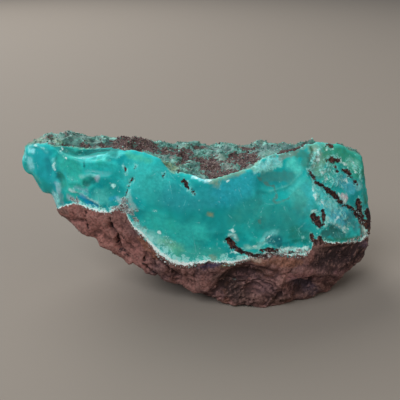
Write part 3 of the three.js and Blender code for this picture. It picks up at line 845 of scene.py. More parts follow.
# Soft colours of the seam, the ironstone and the top, each laid over those before it; some strokes are
# painted highlights, glints and shade, as marked.
WASHES = lay(
    Wash, Side.FACE,
    # the left lobe
    ((-53, 47.6, -51, 42, -50.6, 38.6), 3.4, 0x1E96A0, 3, 0.7),
    ((-50, 48.6, -49.6, 44), 1, 0x168088, 1, 0.6), ((-54.6, 39.4, -51, 37.4), 1.4, 0x188C82, 1.4, 0.7),
    # painted highlight: the pale facet that faces up and to the left
    ((-57.4, 46.2, -56.8, 44), 0.9, 0x84D0D4, 0.8, 0.85),
    ((-59.2, 49.4, -59.6, 46.6), 0.5, 0x80CCCC, 0.9, 0.45),
    ((-59.4, 45, -58.4, 42, -56.6, 40), 0.5, 0x2C9288, 0.9, 0.6),
    ((-56.4, 42, -54.4, 39.6), 0.6, 0x5AA096, 0.7, 0.5),
    ((-57.5, 50.6, -54.6, 51.2, -52.4, 50.7, -50.9, 49.7), 0.3, 0x64C4C6, 0.4, 0.5),
    # painted highlights: a dot on the lobe's top and a line on its ridge
    ((-57.6, 49.6, -56, 49.6), 0.6, 0x96E1E6, 0.5, 0.7),
    ((-48.5, 47.8, -48.2, 45), 0.35, 0x78D7DE, 0.5, 0.8),
    # painted shadow in the notch beside the ridge
    ((-46.6, 42.8, -45.4, 40.2), 1, 0x125C58, 0.9, 0.9),
    ((-47.2, 40.2, -47.3, 37), 0.6, 0x96BAC4, 0.6, 0.85),
    ((-48.6, 36, -47.8, 32.6), 1.1, 0x96D0D0, 0.7, 0.8),
    ((-46.4, 36, -46.3, 33.4), 0.7, 0x60888A, 0.6, 0.7), ((-44.9, 34.9), 0.8, 0x188C80, 0.5, 0.8),
    ((-46.3, 50.4, -45.4, 49.8, -43.9, 48.8), 0.3, 0x96E4DE, 0.4, 0.8),
    # the seam left of the long crack
    ((-43.6, 47, -38.4, 43.4, -42, 40), 3.2, 0x34B6A4, 3, 0.7),
    # painted highlight: the bright band under the lip
    ((-38, 47.2, -32, 47.6, -27, 48.4), 0.9, 0x2CC0BC, 0.9, 0.7),
    ((-37.6, 48, -37.6, 46.8), 0.3, 0x084A50, 0.3, 0.95),
    ((-36.6, 45, -30, 45.2, -25, 45.4), 1.2, 0x12A09E, 1.6, 0.8),
    ((-35.6, 47, -28, 47.4), 0.6, 0x28B6B2, 0.8, 0.6),
    ((-32.8, 50.3, -28.9, 51.1, -25.4, 51.6), 0.7, 0x60D6D2, 0.7, 0.7),
    # painted shade in the recess below the small ridge
    ((-37.8, 41.6, -34.2, 42.5), 0.8, 0x0E6864, 0.9, 0.85),
    ((-38.8, 43.5, -35.6, 44.6, -33.4, 44.4), 0.3, 0x82C8C0, 0.5, 0.7),
    ((-33.1, 44.2, -33.3, 42.8), 0.3, 0xA8B0BE, 0.4, 0.75),
    ((-41, 39.8, -37, 38.8), 0.5, 0x7EB0BE, 0.6, 0.6),
    ((-33, 37.8, -30.2, 38.6), 1.8, 0x5AC4B8, 1.6, 0.6),
    ((-29, 41, -26.6, 38.6), 2.2, 0x169692, 2, 0.7),
    ((-43.4, 36.6, -42, 35.4), 0.7, 0x96B0B8, 0.7, 0.7),
    ((-35.6, 34, -31.8, 33.7), 0.45, 0x56A886, 0.5, 0.6),
    ((-28.8, 37.2, -27.4, 37.8), 0.4, 0x1EA0BE, 0.6, 0.7),
    ((-26.8, 37.6, -26, 37.2), 0.4, 0x96CDD6, 0.5, 0.6),
    ((-42.9, 38.6, -40.8, 38, -38.6, 37.4, -36.2, 36.4, -33.6, 35.6), 0.3, 0xC4E8E8, 0.5, 0.85),
    ((-39.9, 36.6, -38, 35.9, -36.1, 35.1, -34, 34.3), 0.55, 0x0084A6, 0.6, 1),
    # the near-white dot at the end of the next line is a painted glint
    ((-39.6, 37.4, -37.6, 36.9), 0.35, 0x60AAC8, 0.5, 0.6), ((-28, 41.8), 0.36, 0xBEFFF6, 0.25, 1),
    # beside the long crack
    ((-23.4, 39.8, -22.4, 37.4, -21.4, 35.4), 0.5, 0xA8BEBA, 0.8, 0.6),
    ((-20.8, 29.4, -18.6, 27, -16.4, 24.4), 0.6, 0xB6CCC6, 1, 0.5),
    ((-15.6, 26.4, -12.6, 24.4, -9.6, 23.4), 1.2, 0x96D4CC, 1.4, 0.7),
    ((-18.1, 28.6, -18.3, 27), 0.3, 0x746862, 0.4, 0.8),
    ((-11.1, 25.2, -9.2, 24.4, -6.3, 23), 0.7, 0x76A880, 1, 0.6),
    # the broad middle
    ((-19, 45.6, -14, 43.4), 4.4, 0x40C4C0, 4, 0.7),
    ((-22.6, 51.6, -16, 50.6), 0.5, 0x54BE96, 0.9, 0.5),
    ((-13, 38, -6, 36, 2, 34, 10, 33), 3.4, 0x108A86, 4, 0.65),
    ((-15, 31, -10, 28.6, -4, 27.6, -1.6, 29), 2.8, 0x36C0B4, 3, 0.65),
    ((-9, 40, -2, 40, 4, 41), 2.6, 0x2E98A2, 3, 0.6),
    ((-8, 20.6, 0, 21.6, 6, 21), 1.8, 0x4ABEAC, 2.6, 0.6), ((-12, 24, -8, 22), 1.2, 0x68C496, 1.6, 0.4),
    ((10, 43, 14, 43.6), 2.4, 0x38ACB2, 2.4, 0.5), ((14, 36, 20, 34, 27, 31), 3.6, 0x288E86, 4, 0.6),
    ((2.4, 35.4, 3.6, 35.2), 0.5, 0x969260, 0.6, 0.7), ((3.8, 21.2, 4, 19.2), 0.5, 0x968E6E, 0.6, 0.5),
    # painted highlights at the notch in the crest: this line and the first stroke of the next
    ((-2.2, 46.4, -0.4, 45.8), 0.6, 0x96DEE8, 0.3, 0.95),
    ((1.5, 45.5, 3.1, 45.2), 0.6, 0x96DEEA, 0.3, 0.95), ((8, 41, 14, 44), 3, 0x28A6BA, 3, 0.5),
    ((9.2, 28.8, 10.7, 28.4, 11.6, 27), 0.35, 0xBEE2DE, 0.5, 0.7),
    ((15, 24.4, 18.4, 24.6, 20, 25.6), 0.7, 0x96D6C8, 0.8, 0.7),
    ((19, 25.6, 20.8, 26.8, 22.8, 28.6), 0.9, 0x6ECECC, 0.9, 0.7),
    ((22.6, 26, 25, 25.3), 1.2, 0x0E6872, 0.7, 0.85), ((30, 27.6, 34, 26), 1.8, 0x127466, 1.6, 0.7),
    ((27, 22.6, 33, 21.8), 0.6, 0x96CEBE, 0.8, 0.7),
    # the drusy hollow under the rim and the bright field beside it
    ((18.2, 47.8, 20.6, 47.8, 22.8, 48, 25, 48.1), 1.3, 0x7ED0D0, 0.7, 0.9),
    ((12, 48.4, 17, 49.9, 21, 51, 26, 51.6), 0.9, 0x608C80, 0.6, 0.8),
    ((17, 47.4, 20.9, 46.4, 25.8, 47.4), 0.35, 0x82D6CC, 0.5, 0.8),
    ((20.4, 45.2, 24, 44.2, 29.4, 44), 1.2, 0x368682, 0.9, 0.8),
    ((29.5, 47, 31.6, 46), 1.3, 0x60D6C8, 1.2, 0.6),
    ((22, 40.6, 28.6, 41.6, 33, 44.6), 0.12, 0x6EBEB4, 0.4, 0.4),
    ((32.6, 39.4, 34, 37.2), 2.8, 0x4ABEB6, 3.2, 0.85),
    ((26, 49.6, 28.4, 49.7), 0.8, 0x7E928A, 0.6, 0.8),
    ((29, 50.5, 31.5, 50.8, 34, 51.1), 0.6, 0x6EA69A, 0.6, 0.8),
    ((33, 49.6, 34.6, 48.8, 34.2, 47.4), 1.1, 0x368478, 1, 0.85),
    ((40.6, 48.4, 43, 47.8), 0.8, 0x386250, 0.8, 0.7), ((36.8, 46, 38.8, 44), 1.5, 0x326A64, 0.8, 0.9),
    ((32, 35.6, 35.4, 34.2), 1.4, 0x24746C, 2.6, 0.5),
    # the right end
    ((37.6, 51, 38.8, 49.4, 39.4, 47.6, 38.2, 45.8), 1.9, 0x70A68E, 1, 0.85),
    ((37.4, 48.6, 37, 46, 36.2, 44.8), 0.3, 0x4A463A, 0.4, 0.7),
    ((38.2, 50.4, 37.4, 48.2, 36.6, 46.4), 0.5, 0x8CA898, 0.6, 0.8),
    ((36.5, 50.7, 36.8, 49.4, 36.2, 48, 35.5, 46.8), 0.28, 0x2C503C, 0.4, 0.95),
    ((39.6, 49.2, 40.6, 47.8), 0.5, 0x88888C, 0.5, 0.7),
    ((40.4, 50.8, 43.4, 50.4), 0.7, 0x78968C, 0.7, 0.7),
    ((36, 48.4, 36, 46.6), 0.5, 0x1E6860, 0.7, 0.7),
    ((38.8, 48.6, 38.8, 47.2), 0.3, 0xBEB4BE, 0.4, 0.7),
    ((36.6, 49, 38.4, 47.6), 0.6, 0x4A5C4C, 0.6, 0.6),
    ((43, 49.4, 50, 47, 54, 42), 2.6, 0x369476, 2, 0.8),
    ((41.4, 48.4, 43.6, 46.2), 1, 0x3E8464, 1, 0.7), ((39.6, 44, 43.6, 41.4), 1.2, 0x46B098, 1.2, 0.5),
    ((46, 40.8, 49, 39, 51.6, 36.6), 1.5, 0x46AEC0, 1.2, 0.85),
    ((42, 43.2, 45, 42.4), 1.7, 0x3CB4AC, 1.4, 0.6), ((50.6, 44.6, 53.4, 43.4), 0.9, 0x82D2BE, 1, 0.6),
    ((53.6, 37.6, 54.8, 36), 0.8, 0x82C8C8, 0.8, 0.6),
    ((37.2, 40.4, 37.2, 38, 38.4, 35.6), 0.3, 0xB4E2DE, 0.6, 0.6),
    ((34.6, 40.4, 36.4, 37, 35.4, 34.6), 1.1, 0x32BABE, 1.4, 0.8),
    ((38.4, 38.2, 41.2, 35.4, 43.6, 33.4), 1.6, 0x56C6C8, 1.6, 0.7),
    ((40.4, 34.2, 43.4, 32.2, 45.4, 30), 1.5, 0x54CCD6, 1.2, 0.8),
    ((42.6, 34.6, 44.8, 32.4), 0.8, 0x84E2E2, 0.8, 0.75),
    ((47.4, 35.4, 49, 34.2, 48.6, 33.2), 0.6, 0xCEB6BE, 0.5, 0.85),
    ((44.2, 29.6, 47.4, 27.2), 1.7, 0x50B2C6, 1.2, 0.8),
    ((47.6, 30.2, 50.4, 27.8), 1.6, 0x36A0B8, 1.6, 0.8),
    ((51, 27.4, 53.6, 24.4), 1.4, 0x36848A, 1.4, 0.75),
    ((55.2, 25.8, 56, 23.6, 56.4, 21.6), 0.7, 0x545450, 0.6, 0.8),
    ((42, 30, 45.4, 27.4, 50, 23.4), 0.2, 0x96D6D6, 0.8, 0.6),
    ((36.8, 33, 36.8, 31.6), 0.3, 0xB4D6C8, 0.4, 0.7),
    ((41.4, 30.4, 41.2, 28), 0.3, 0xB4DED6, 0.5, 0.8),
    ((39.8, 25.2, 43, 25.4, 47.4, 23.2), 1.3, 0x2A7472, 0.4, 0.9),
    ((42.2, 27.6, 43.6, 26.6), 0.7, 0x2A7472, 0.4, 0.9),
    ((40, 23.8, 44.4, 22.4, 52, 20.6, 56, 19.6), 0.3, 0x286E54, 0.5, 0.8),
    ((57.2, 22.4, 58.6, 20), 0.6, 0xBED0C8, 0.8, 0.7),
    ((56.6, 44, 58.4, 38, 59, 30), 1.4, 0x286046, 0.7, 0.9),
    # the ironstone
    ((-42, 30, -34, 24, -24, 17), 6, 0x98645C, 4, 0.6),
    ((-46.2, 28.6, -40, 22.4, -33, 17.2, -27, 13.4), 0.5, 0x48403E, 0.8, 0.6),
    ((-48.6, 30.6, -45.6, 30.8), 0.8, 0x524842, 0.8, 0.6),
    ((-20, 24.4, -17.6, 21.6, -15, 18.6), 0.6, 0x966042, 1, 0.5),
    ((17.6, 19.8, 24, 19.4, 31.7, 17.8), 1, 0x926448, 1.2, 0.45),
    ((0.6, 17.2, 4.4, 18, 6.4, 18.6), 0.6, 0x484260, 0.7, 0.85),
    ((7.2, 17.6, 10.4, 18.4), 0.5, 0x8C805A, 0.6, 0.6),
    ((12.4, 20.2, 15.6, 20.7, 18.5, 20.1), 0.55, 0xC4B8A8, 0.7, 0.6),
    ((6, 12.6, 12, 15.6, 20, 15.4), 1.4, 0x3E2C28, 1.4, 0.7),
    ((8.6, 10, 13, 4.6), 2.6, 0x302422, 2.4, 0.85),
    ((15, 12.6, 20, 10.6, 24.6, 5), 2, 0x58444A, 2.4, 0.5),
    ((25, 2.4, 28.6, 2.8), 1.2, 0x74543E, 1.4, 0.5),
    ((29.8, 12.2, 36, 12.6, 41, 11.4), 1, 0x966868, 1.6, 0.7),
    # the first stroke of the next line: dark purple-brown rock with painted shade where it faces down
    ((42, 14, 50, 11, 58, 12), 3.6, 0x3C2B2D, 3, 0.85), ((46, 10, 51, 7), 0.7, 0x745054, 1.2, 0.6),
    ((31.4, 10, 36, 6.6, 40, 2.6), 1.7, 0x544856, 1.2, 0.8),
    # dark purple-brown rock with painted shade on the downward-facing lower right
    ((41, 18.6, 50, 16.4, 58, 13.6), 3.4, 0x2C1F22, 2.2, 0.9),
    # the first stroke of the next line: painted shade along the bottom
    ((16, 3.6, 30, 1.6, 44, 3.6), 2, 0x3C2C2A, 2, 0.6), ((57, 17.4, 59.6, 16.4), 1, 0x544658, 1, 0.7),
    ((38, 22.6, 41, 20.6), 1.2, 0x6E544E, 1, 0.7),
) + lay(
    Wash, Side.BACK,
    # the back
    ((-52, 43, -36, 40, -20, 37), 3, 0x2E968E, 4, 0.75),
    ((-14, 36, 0, 33, 10, 33), 4, 0x288E88, 5, 0.75),
    ((18, 36, 30, 37, 44, 38), 4.4, 0x34988C, 5, 0.75),
    ((8, 24, 20, 22, 30, 26), 3, 0x4AAC9A, 3.6, 0.6), ((40, 30, 50, 31, 56, 34), 3.4, 0x247A78, 4, 0.7),
    ((24, 33, 28, 30), 2, 0x1A746E, 3, 0.6), ((4, 26, -2, 27.6), 1.6, 0x1E7C78, 2.4, 0.6),
    ((-22, 34.4, -30, 36), 1, 0x78C4B6, 1.6, 0.5), ((33, 40, 41, 38), 1.4, 0x78BAA4, 2, 0.6),
    ((46, 38, 50, 35), 1.2, 0x54A6B8, 1.6, 0.6),
    ((12, 20, 18, 18.6, 26, 20.6), 0.8, 0xAACCBE, 1.4, 0.5),
) + lay(
    Wash, Side.TOP,
    # the top
    ((-45.6, -5.4, -42, -6, -37, -5.8, -32, -7, -27.6, -9.6), 2.2, 0x14645E, 1.2, 0.85),
    ((-43, -6.8, -38.6, -7.4, -34.4, -7.6, -30.8, -9.4), 1.1, 0x047C74, 0.9, 0.85),
    ((-40, -3.6, -35, -3.8, -30.4, -6, -27.4, -9), 1.1, 0x084E4A, 0.9, 0.85),
    ((-48.6, -0.8, -47, -1.6), 0.7, 0x64845A, 0.8, 0.6),
    ((20, 0.4, 23.6, 0.4, 28, -2.6), 2.6, 0x2C5C5A, 1.2, 0.9),
    ((-59, -0.4, -55, -0.4), 1.2, 0x587A5C, 1.2, 0.6),
    ((21.4, -9.8, 26.7, -8, 32.8, -4.8, 37.4, -1.2, 43, 0.4), 0.8, 0x628276, 0.5, 0.8),
    ((3, -19.4, 9.9, -17.8, 15.7, -15.6, 20.4, -10.8), 0.5, 0x82967A, 0.5, 0.75),
    ((-14, -11, -11, -13.4, -8.4, -14.8), 1.2, 0x829668, 1.2, 0.7),
    ((7, 0, 8, -6, 8.6, -9.4), 1.1, 0x708C80, 0.8, 0.8), ((2.6, 6.6, 8.6, 6), 1.6, 0x426866, 1.6, 0.7),
    ((1, -4.2, 5.5, -5.4, 8.8, -6.6), 2.2, 0x342C2E, 1.6, 0.6),
)

# Lines of (x, value) pairs along the stone: the height of the contact with the ironstone,
# in front and behind.
CONTACT_FACE = pairs(
    -62, 28, -49, 30.5, -48, 31.2, -44.4, 33.4, -40.8, 34.2, -38.4, 33.5, -33.6, 32.6, -29.8, 33, -27.4,
    34.3, -25.4, 36, -24.3, 34, -23.2, 30.4, -21.3, 27.8, -19.1, 26, -16.8, 23.4, -14.3, 20.5, -10.7,
    18, -7.7, 16.8, -3.7, 17.4, -0.1, 18.4, 2.1, 19.3, 5.5, 19.1, 9.6, 18.7, 13.4, 19.6, 15.9, 21,
    18.8, 21.4, 21.3, 22.2, 24.9, 21.6, 29.6, 20.8, 34.4, 20.4, 36.2, 21.4, 36.9, 24.2, 38.8, 24.9,
    40.6, 23.3, 41.9, 22.7, 47.4, 20.9, 54.6, 18.8, 59.2, 18.6, 62, 18.8,
)
CONTACT_BACK = pairs(
    -62, 30, -50, 38.5, -40, 35, -28, 32.5, -15, 26, -4, 22.5, 8, 16, 20, 14.5, 32, 19, 45, 24, 62, 20,
)
# Where the crust starts behind the face, as y, and how far it hangs down the back, as z.
CREST = pairs(
    -62, 2, -58.5, -1.4, -51.5, -3.4, -49, -3.9, -46.6, -3.4, -43.4, -2.2, -40.3, -1.5, -36.8, -1.6,
    -33.4, -2.6, -30, -4.8, -27.4, -8.6, -24, -11.4, -20.9, -11.6, -16.9, -12.6, -13.4, -13.4, -11.5,
    -15.4, -9.2, -16.8, -6.1, -17, -2, -17.2, 1.4, -19, 4.2, -18.8, 9.9, -17.2, 15.7, -15, 19.9, -10.4,
    26.7, -7, 32.8, -3.7, 38.4, 0.4, 48, 1.6, 55, 1.8, 62, 2,
)
CRUST_HANG = pairs(
    -62, 45, -50, 45, -38, 42, -20, 41, -5, 37, 8, 38.5, 22, 42, 36, 44, 48, 42, 56, 44, 62, 52,
)
# How far the white rim reaches above the contact.
RIM_WIDTH = pairs(
    -62, 0.15, -46, 0.12, -42, 0.2, -38, 0.4, -33, 0.6, -28, 0.45, -25, 0.2, -21, 0.8, -16, 1.2, -9,
    1.5, -4, 0.9, 0, 0.6, 5, 0.45, 8, 0.9, 14, 0.9, 17, 0.35, 24, 0.4, 28, 0.8, 34, 0.8, 37, 0.2, 42,
    0.12, 50, 0.12, 54, 0.17, 59, 0.26, 62, 0.15,
)


# ---------------------------------------------------------------- the stone's skin


@dataclass
class StoneSkin:
    """The visible stone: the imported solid's skin, made fine and carved.

    Attributes:
        voxel: size of its small faces.
        node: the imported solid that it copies.
        front_to_back: y where the contact's front line gives way to its back line.
        trough: x from the left end of the trough behind the lip to its right end.
        left_block: x where shards give way to the slabs of the left block.
        right_end: x where the face becomes chipped.
        whole_dip: bend of the surface that counts as a whole dip.
        limits: corners of the box that it may fill.
        mesh: its mesh.
        skin: the mesh's points.
        fields: what is known about each point, by name: distances inside each rock and
            mark, the width of the white rim, and how hollow the place is.
    """

    voxel: float = 0.505
    node: str = "stone"
    front_to_back: Span = (-10.0, 12.0)
    trough: Span = (-49.0, -8.0)
    left_block: Span = (-14.0, -22.0)
    right_end: Span = (35.0, 39.0)
    whole_dip: float = 0.16
    limits: tuple[Array, Array] = field(init=False)
    mesh: bpy.types.Mesh = field(init=False)
    skin: Skin = field(init=False)
    fields: dict[str, Array] = field(init=False, default_factory=dict)

    def __post_init__(self) -> None:
        """Reads the box that the stone may fill, with a thin margin."""
        low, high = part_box(self.node)
        self.limits = (np.array(low) / MM + MARGIN, np.array(high) / MM - MARGIN)

    def copy_solid(self) -> None:
        """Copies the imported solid, closes its skin and gives it small even faces."""
        shell = bmesh.new()
        shell.from_mesh(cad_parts[self.node].data)
        bmesh.ops.remove_doubles(shell, verts=shell.verts, dist=1e-6)
        rough = close_shape(shell, "rough_stone")
        self.mesh = modified(rough, "REMESH", mode="VOXEL", voxel_size=self.voxel * MM)
        points, normals = (pull(self.mesh.vertices, name) for name in ("co", "normal"))
        self.skin = Skin(points / MM, normals, pull(self.mesh.edges, "vertices", 2, np.int32))

    def write(self) -> None:
        """Puts the points back into the mesh, inside its limits, and refreshes the normals."""
        low, high = self.limits
        self.skin.points = np.clip(self.skin.points, low - (0.0, 0.0, MARGIN), high)
        self.mesh.vertices.foreach_set("co", (self.skin.points * MM).ravel())
        self.mesh.update()
        self.skin.normals = pull(self.mesh.vertices, "normal")

    def survey(self) -> None:
        """Works out which rock and which mark each point is in."""
        skin, p = self.skin, self.skin.points
        wander = layered_noise(p, 3.2, 11)
        behind = smoothstep(*self.front_to_back, skin.y)
        contact = along(CONTACT_FACE, skin.x) * (1 - behind)
        contact += (along(CONTACT_BACK, skin.x) + 1.6 * layered_noise(p, 9.0, 5, 2)) * behind
        seam = skin.z - contact - 0.28 * wander
        hang = along(CRUST_HANG, skin.x) + 2.6 * layered_noise(p, 7.0, 23)
        past_crest = skin.y - along(CREST, skin.x)
        crust = np.minimum(past_crest, (skin.z - hang) * 0.8) + 0.35 * wander
        rim = along(RIM_WIDTH, skin.x) * (1.0 + 0.6 * gradient_noise(p, 2.4, 3))
        rim = rim * skin.shown(Side.FACE)
        rim += (0.6 + 0.7 * gradient_noise(p, 6.0, 33)) * skin.shown(Side.BACK)
        self.fields.update(seam=seam, crust=crust, rim=np.maximum(rim, 0.1))
        wobble = self.mark_wobble()
        marks = {"fissure": CRACKS, "flaw": FLAWS, "earth": EARTH, "grit": GRIT, "frost": FROST,
                 "vein": VEINS_AND_GLINTS}
        for name, shapes in marks.items():
            self.fields[name] = np.max([shape.inside(skin, wobble) for shape in shapes], axis=0)
        on_face = smoothstep(0.8, 0.0, crust) * smoothstep(0.0, 0.4, seam)
        for name in ("frost", "vein"):
            self.fields[name] = np.where(on_face > 0.3, self.fields[name], NOWHERE)
        self.fields["earth"] += 1.1 * layered_noise(p, 4.5, 43) * (self.fields["earth"] > -5.0)

    def mark_wobble(self) -> Array:
        """Unevenness of the edges of all marks."""
        return 0.42 * layered_noise(self.skin.points, 1.7, 41, 4)

    def tint(self) -> Array:
        """Lays the soft strokes of colour over each other, painted highlights, glints and shade among
        them.

        Returns:
            Red, green, blue and cover for each point, shape (n, 4).
        """
        skin, crust = self.skin, self.fields["crust"]
        wobble = 0.9 * layered_noise(skin.points, 2.4, 91)
        colour = np.tile(linear(0x289692)[:3], (len(skin.points), 1))
        cover = np.zeros(len(skin.points))
        below = smoothstep(0.5, -0.4, crust)
        reach = {Side.FACE: below, Side.BACK: below, Side.TOP: smoothstep(-7.0, -6.0, crust)}
        for wash in WASHES:
            share = wash.cover(skin, self.fields["seam"], wobble) * reach[wash.side]
            total = share + cover * (1 - share)
            weight = np.where(total > 1e-4, share / np.maximum(total, 1e-4), 0.0)[:, None]
            colour = colour * (1 - weight) + np.array(linear(wash.colour)[:3]) * weight
            cover = total
        return np.concatenate([colour, cover[:, None]], axis=1)

    def wear(self, smooth: Array, front: Array) -> None:
        """Rounds the seam, most of all on the face, and the lip of the left lobe.

        Args:
            smooth: how much each point is of the seam.
            front: how much it is of the face.
        """
        skin = self.skin
        polish = smooth * (0.3 + 0.7 * front)
        skin.points = skin.relax(skin.points, 40, polish * 0.66, keep_size=True)
        skin.points = skin.relax(skin.points, 3, 0.5, keep_size=True)
        lip = smoothstep(3.6, 1.0, np.abs(skin.y - along(CREST, skin.x))) * (skin.z > 40.0)
        lip = lip * skin.along_x(self.trough[0], -45.0) * skin.along_x(-26.0, -31.0)
        skin.points = skin.relax(skin.points, 45, 0.9 * lip)
        self.write()

    def scars(self) -> Array:
        """Height of the shell-shaped scars, ridges, valleys, flake edges and ledges.

        Returns:
            One height a point.
        """
        skin = self.skin
        height = -np.max([bowl.relief(skin) for bowl in BOWLS], axis=0)
        for trace in FURROWS + FLAKES:
            height = height + trace.relief(skin)
        below = smoothstep(-0.4, -1.4, self.fields["seam"])
        height = height + below * sum(ledges.relief(skin) for ledges in LEDGES)
        return skin.relax(height, 1, 0.5)

    def broken_rock(self, shards: Cells, small: Cells) -> Array:
        """Height of the ironstone's broken surface: shards, and slabs in the left block.

        Args:
            shards: pattern of the shards.
            small: pattern of the small chips.

        Returns:
            One height a point.
        """
        p = self.skin.points
        slabs = Cells.at(p @ np.array([[0.8, 0, 0.5], [0, 1, 0], [-0.5, 0, 1.0]]), 9.0, 21)
        block = self.skin.along_x(*self.left_block)
        height = 0.85 * shards.plane * (1 - block) + 0.48 * slabs.plane * block
        height += (0.3 - 0.2 * block) * small.plane + 0.13 * layered_noise(p, 1.3, 13)
        height += (0.4 - 0.27 * block) * gradient_noise(p, 5.0, 37)
        joints = smoothstep(0.07, 0.0, shards.border) * (shards.label > 0.5)
        return height - 0.6 * joints * (1 - block)

    def druse(self, small: Cells) -> Array:
        """Height of the crust's clumps, mounds and earth.

        Args:
            small: pattern of the small chips.

        Returns:
            One height a point.
        """
        skin, p = self.skin, self.skin.points
        clumps = Cells.at(p + 0.7 * gradient_noise(p, 2.0, 19)[:, None], 3.4, 53)
        height = np.clip(0.75 - clumps.nearest, 0, 1) + 0.7 * layered_noise(p, 6.0, 61, 4)
        left, right = self.trough
        height -= 0.55 + 0.6 * skin.along_x(right, -20.0) * skin.along_x(left, -42.0)
        height += 0.4 * skin.along_x(-44.0, left)
        height = height - 0.5 * smoothstep(-0.5, 0.8, self.fields["earth"]) + 0.45 * small.plane
        return height + sum(mound.relief(skin) for mound in MOUNDS)

    def grooves(self) -> Array:
        """How deep the cracks and pits are cut.

        Returns:
            One depth a point.
        """
        wobble = self.mark_wobble()
        depth = np.zeros(len(wobble))
        for crack in CRACKS:
            inside = crack.inside(self.skin, wobble)
            depth = np.maximum(depth, crack.depth * smoothstep(-0.3, crack.width, inside))
        grit = Cells.at(self.skin.points, 0.9, 83)
        return depth * (0.5 + 0.9 * grit.nearest)

    def carve(self) -> None:
        """Cuts the scars, the broken rock, the grain and the cracks into the skin."""
        skin = self.skin
        smooth = smoothstep(-0.2, 0.8, self.fields["seam"])
        smooth = smooth * smoothstep(0.4, -0.6, self.fields["crust"])
        on_crust = smoothstep(-0.3, 0.5, self.fields["crust"])
        rock = (1 - smooth) * (1 - on_crust)
        front = skin.shown(Side.FACE)
        self.wear(smooth, front)
        p = skin.points
        shards = Cells.at(p * np.array([1.0, 1.0, 1.25]), 6.0, 17)
        small = Cells.at(p + 0.6 * gradient_noise(p, 2.0, 9)[:, None], 2.3, 29)
        plates = Cells.at(p @ np.array([[0.8, 0, 0.6], [0, 1, 0], [-0.3, 0, 0.4]]), 2.2, 71)
        gentle = 0.45 * gradient_noise(p, 13.0, 2) + 0.16 * gradient_noise(p, 5.0, 7)
        height = self.scars() * (0.35 + 0.65 * smooth + 0.65 * rock)
        height += smooth * (0.5 * gentle + (1 - front) * 0.9 * shards.plane)
        height += rock * (self.broken_rock(shards, small) + 0.3)
        height += on_crust * self.druse(small)
        icy = smoothstep(-0.3, 0.7, self.fields["frost"])
        height += icy * (0.7 * plates.plane + 0.25 * layered_noise(p, 1.2, 73, 2))
        height += skin.along_x(*self.right_end) * smooth * 0.35 * small.plane
        height -= self.grooves()
        above_floor = smoothstep(0.25, 1.2, skin.z)
        skin.points = p + skin.normals * (height * above_floor)[:, None]
        self.write()

    def hollow(self) -> Array:
        """Tells how far each point lies in a dip.

        Returns:
            One number a point, about -1 on a ridge to 1 in a dip.
        """
        mean = self.skin.relax(self.skin.points, 6)
        bend = np.sum((mean - self.skin.points) * self.skin.normals, axis=1)
        return np.clip(bend / self.whole_dip, -1.0, 1.0)

    def build(self) -> bpy.types.Object:
        """Makes the finished stone and stores its fields on it.

        Returns:
            The stone.
        """
        self.copy_solid()
        self.survey()
        self.carve()
        self.survey()
        self.fields["hollow"] = self.hollow()
        for name, values in self.fields.items():
            store(self.mesh, name, values)
        store(self.mesh, "tint", self.tint())
        self.mesh.shade_smooth()
        self.mesh.name = "chrysoprase_stone"
        return add_object("chrysoprase_stone", self.mesh)


# ---------------------------------------------------------------- shader helpers

Socket = bpy.types.NodeSocket
Number = float | Socket
Drawn = tuple[object, Number, Number]


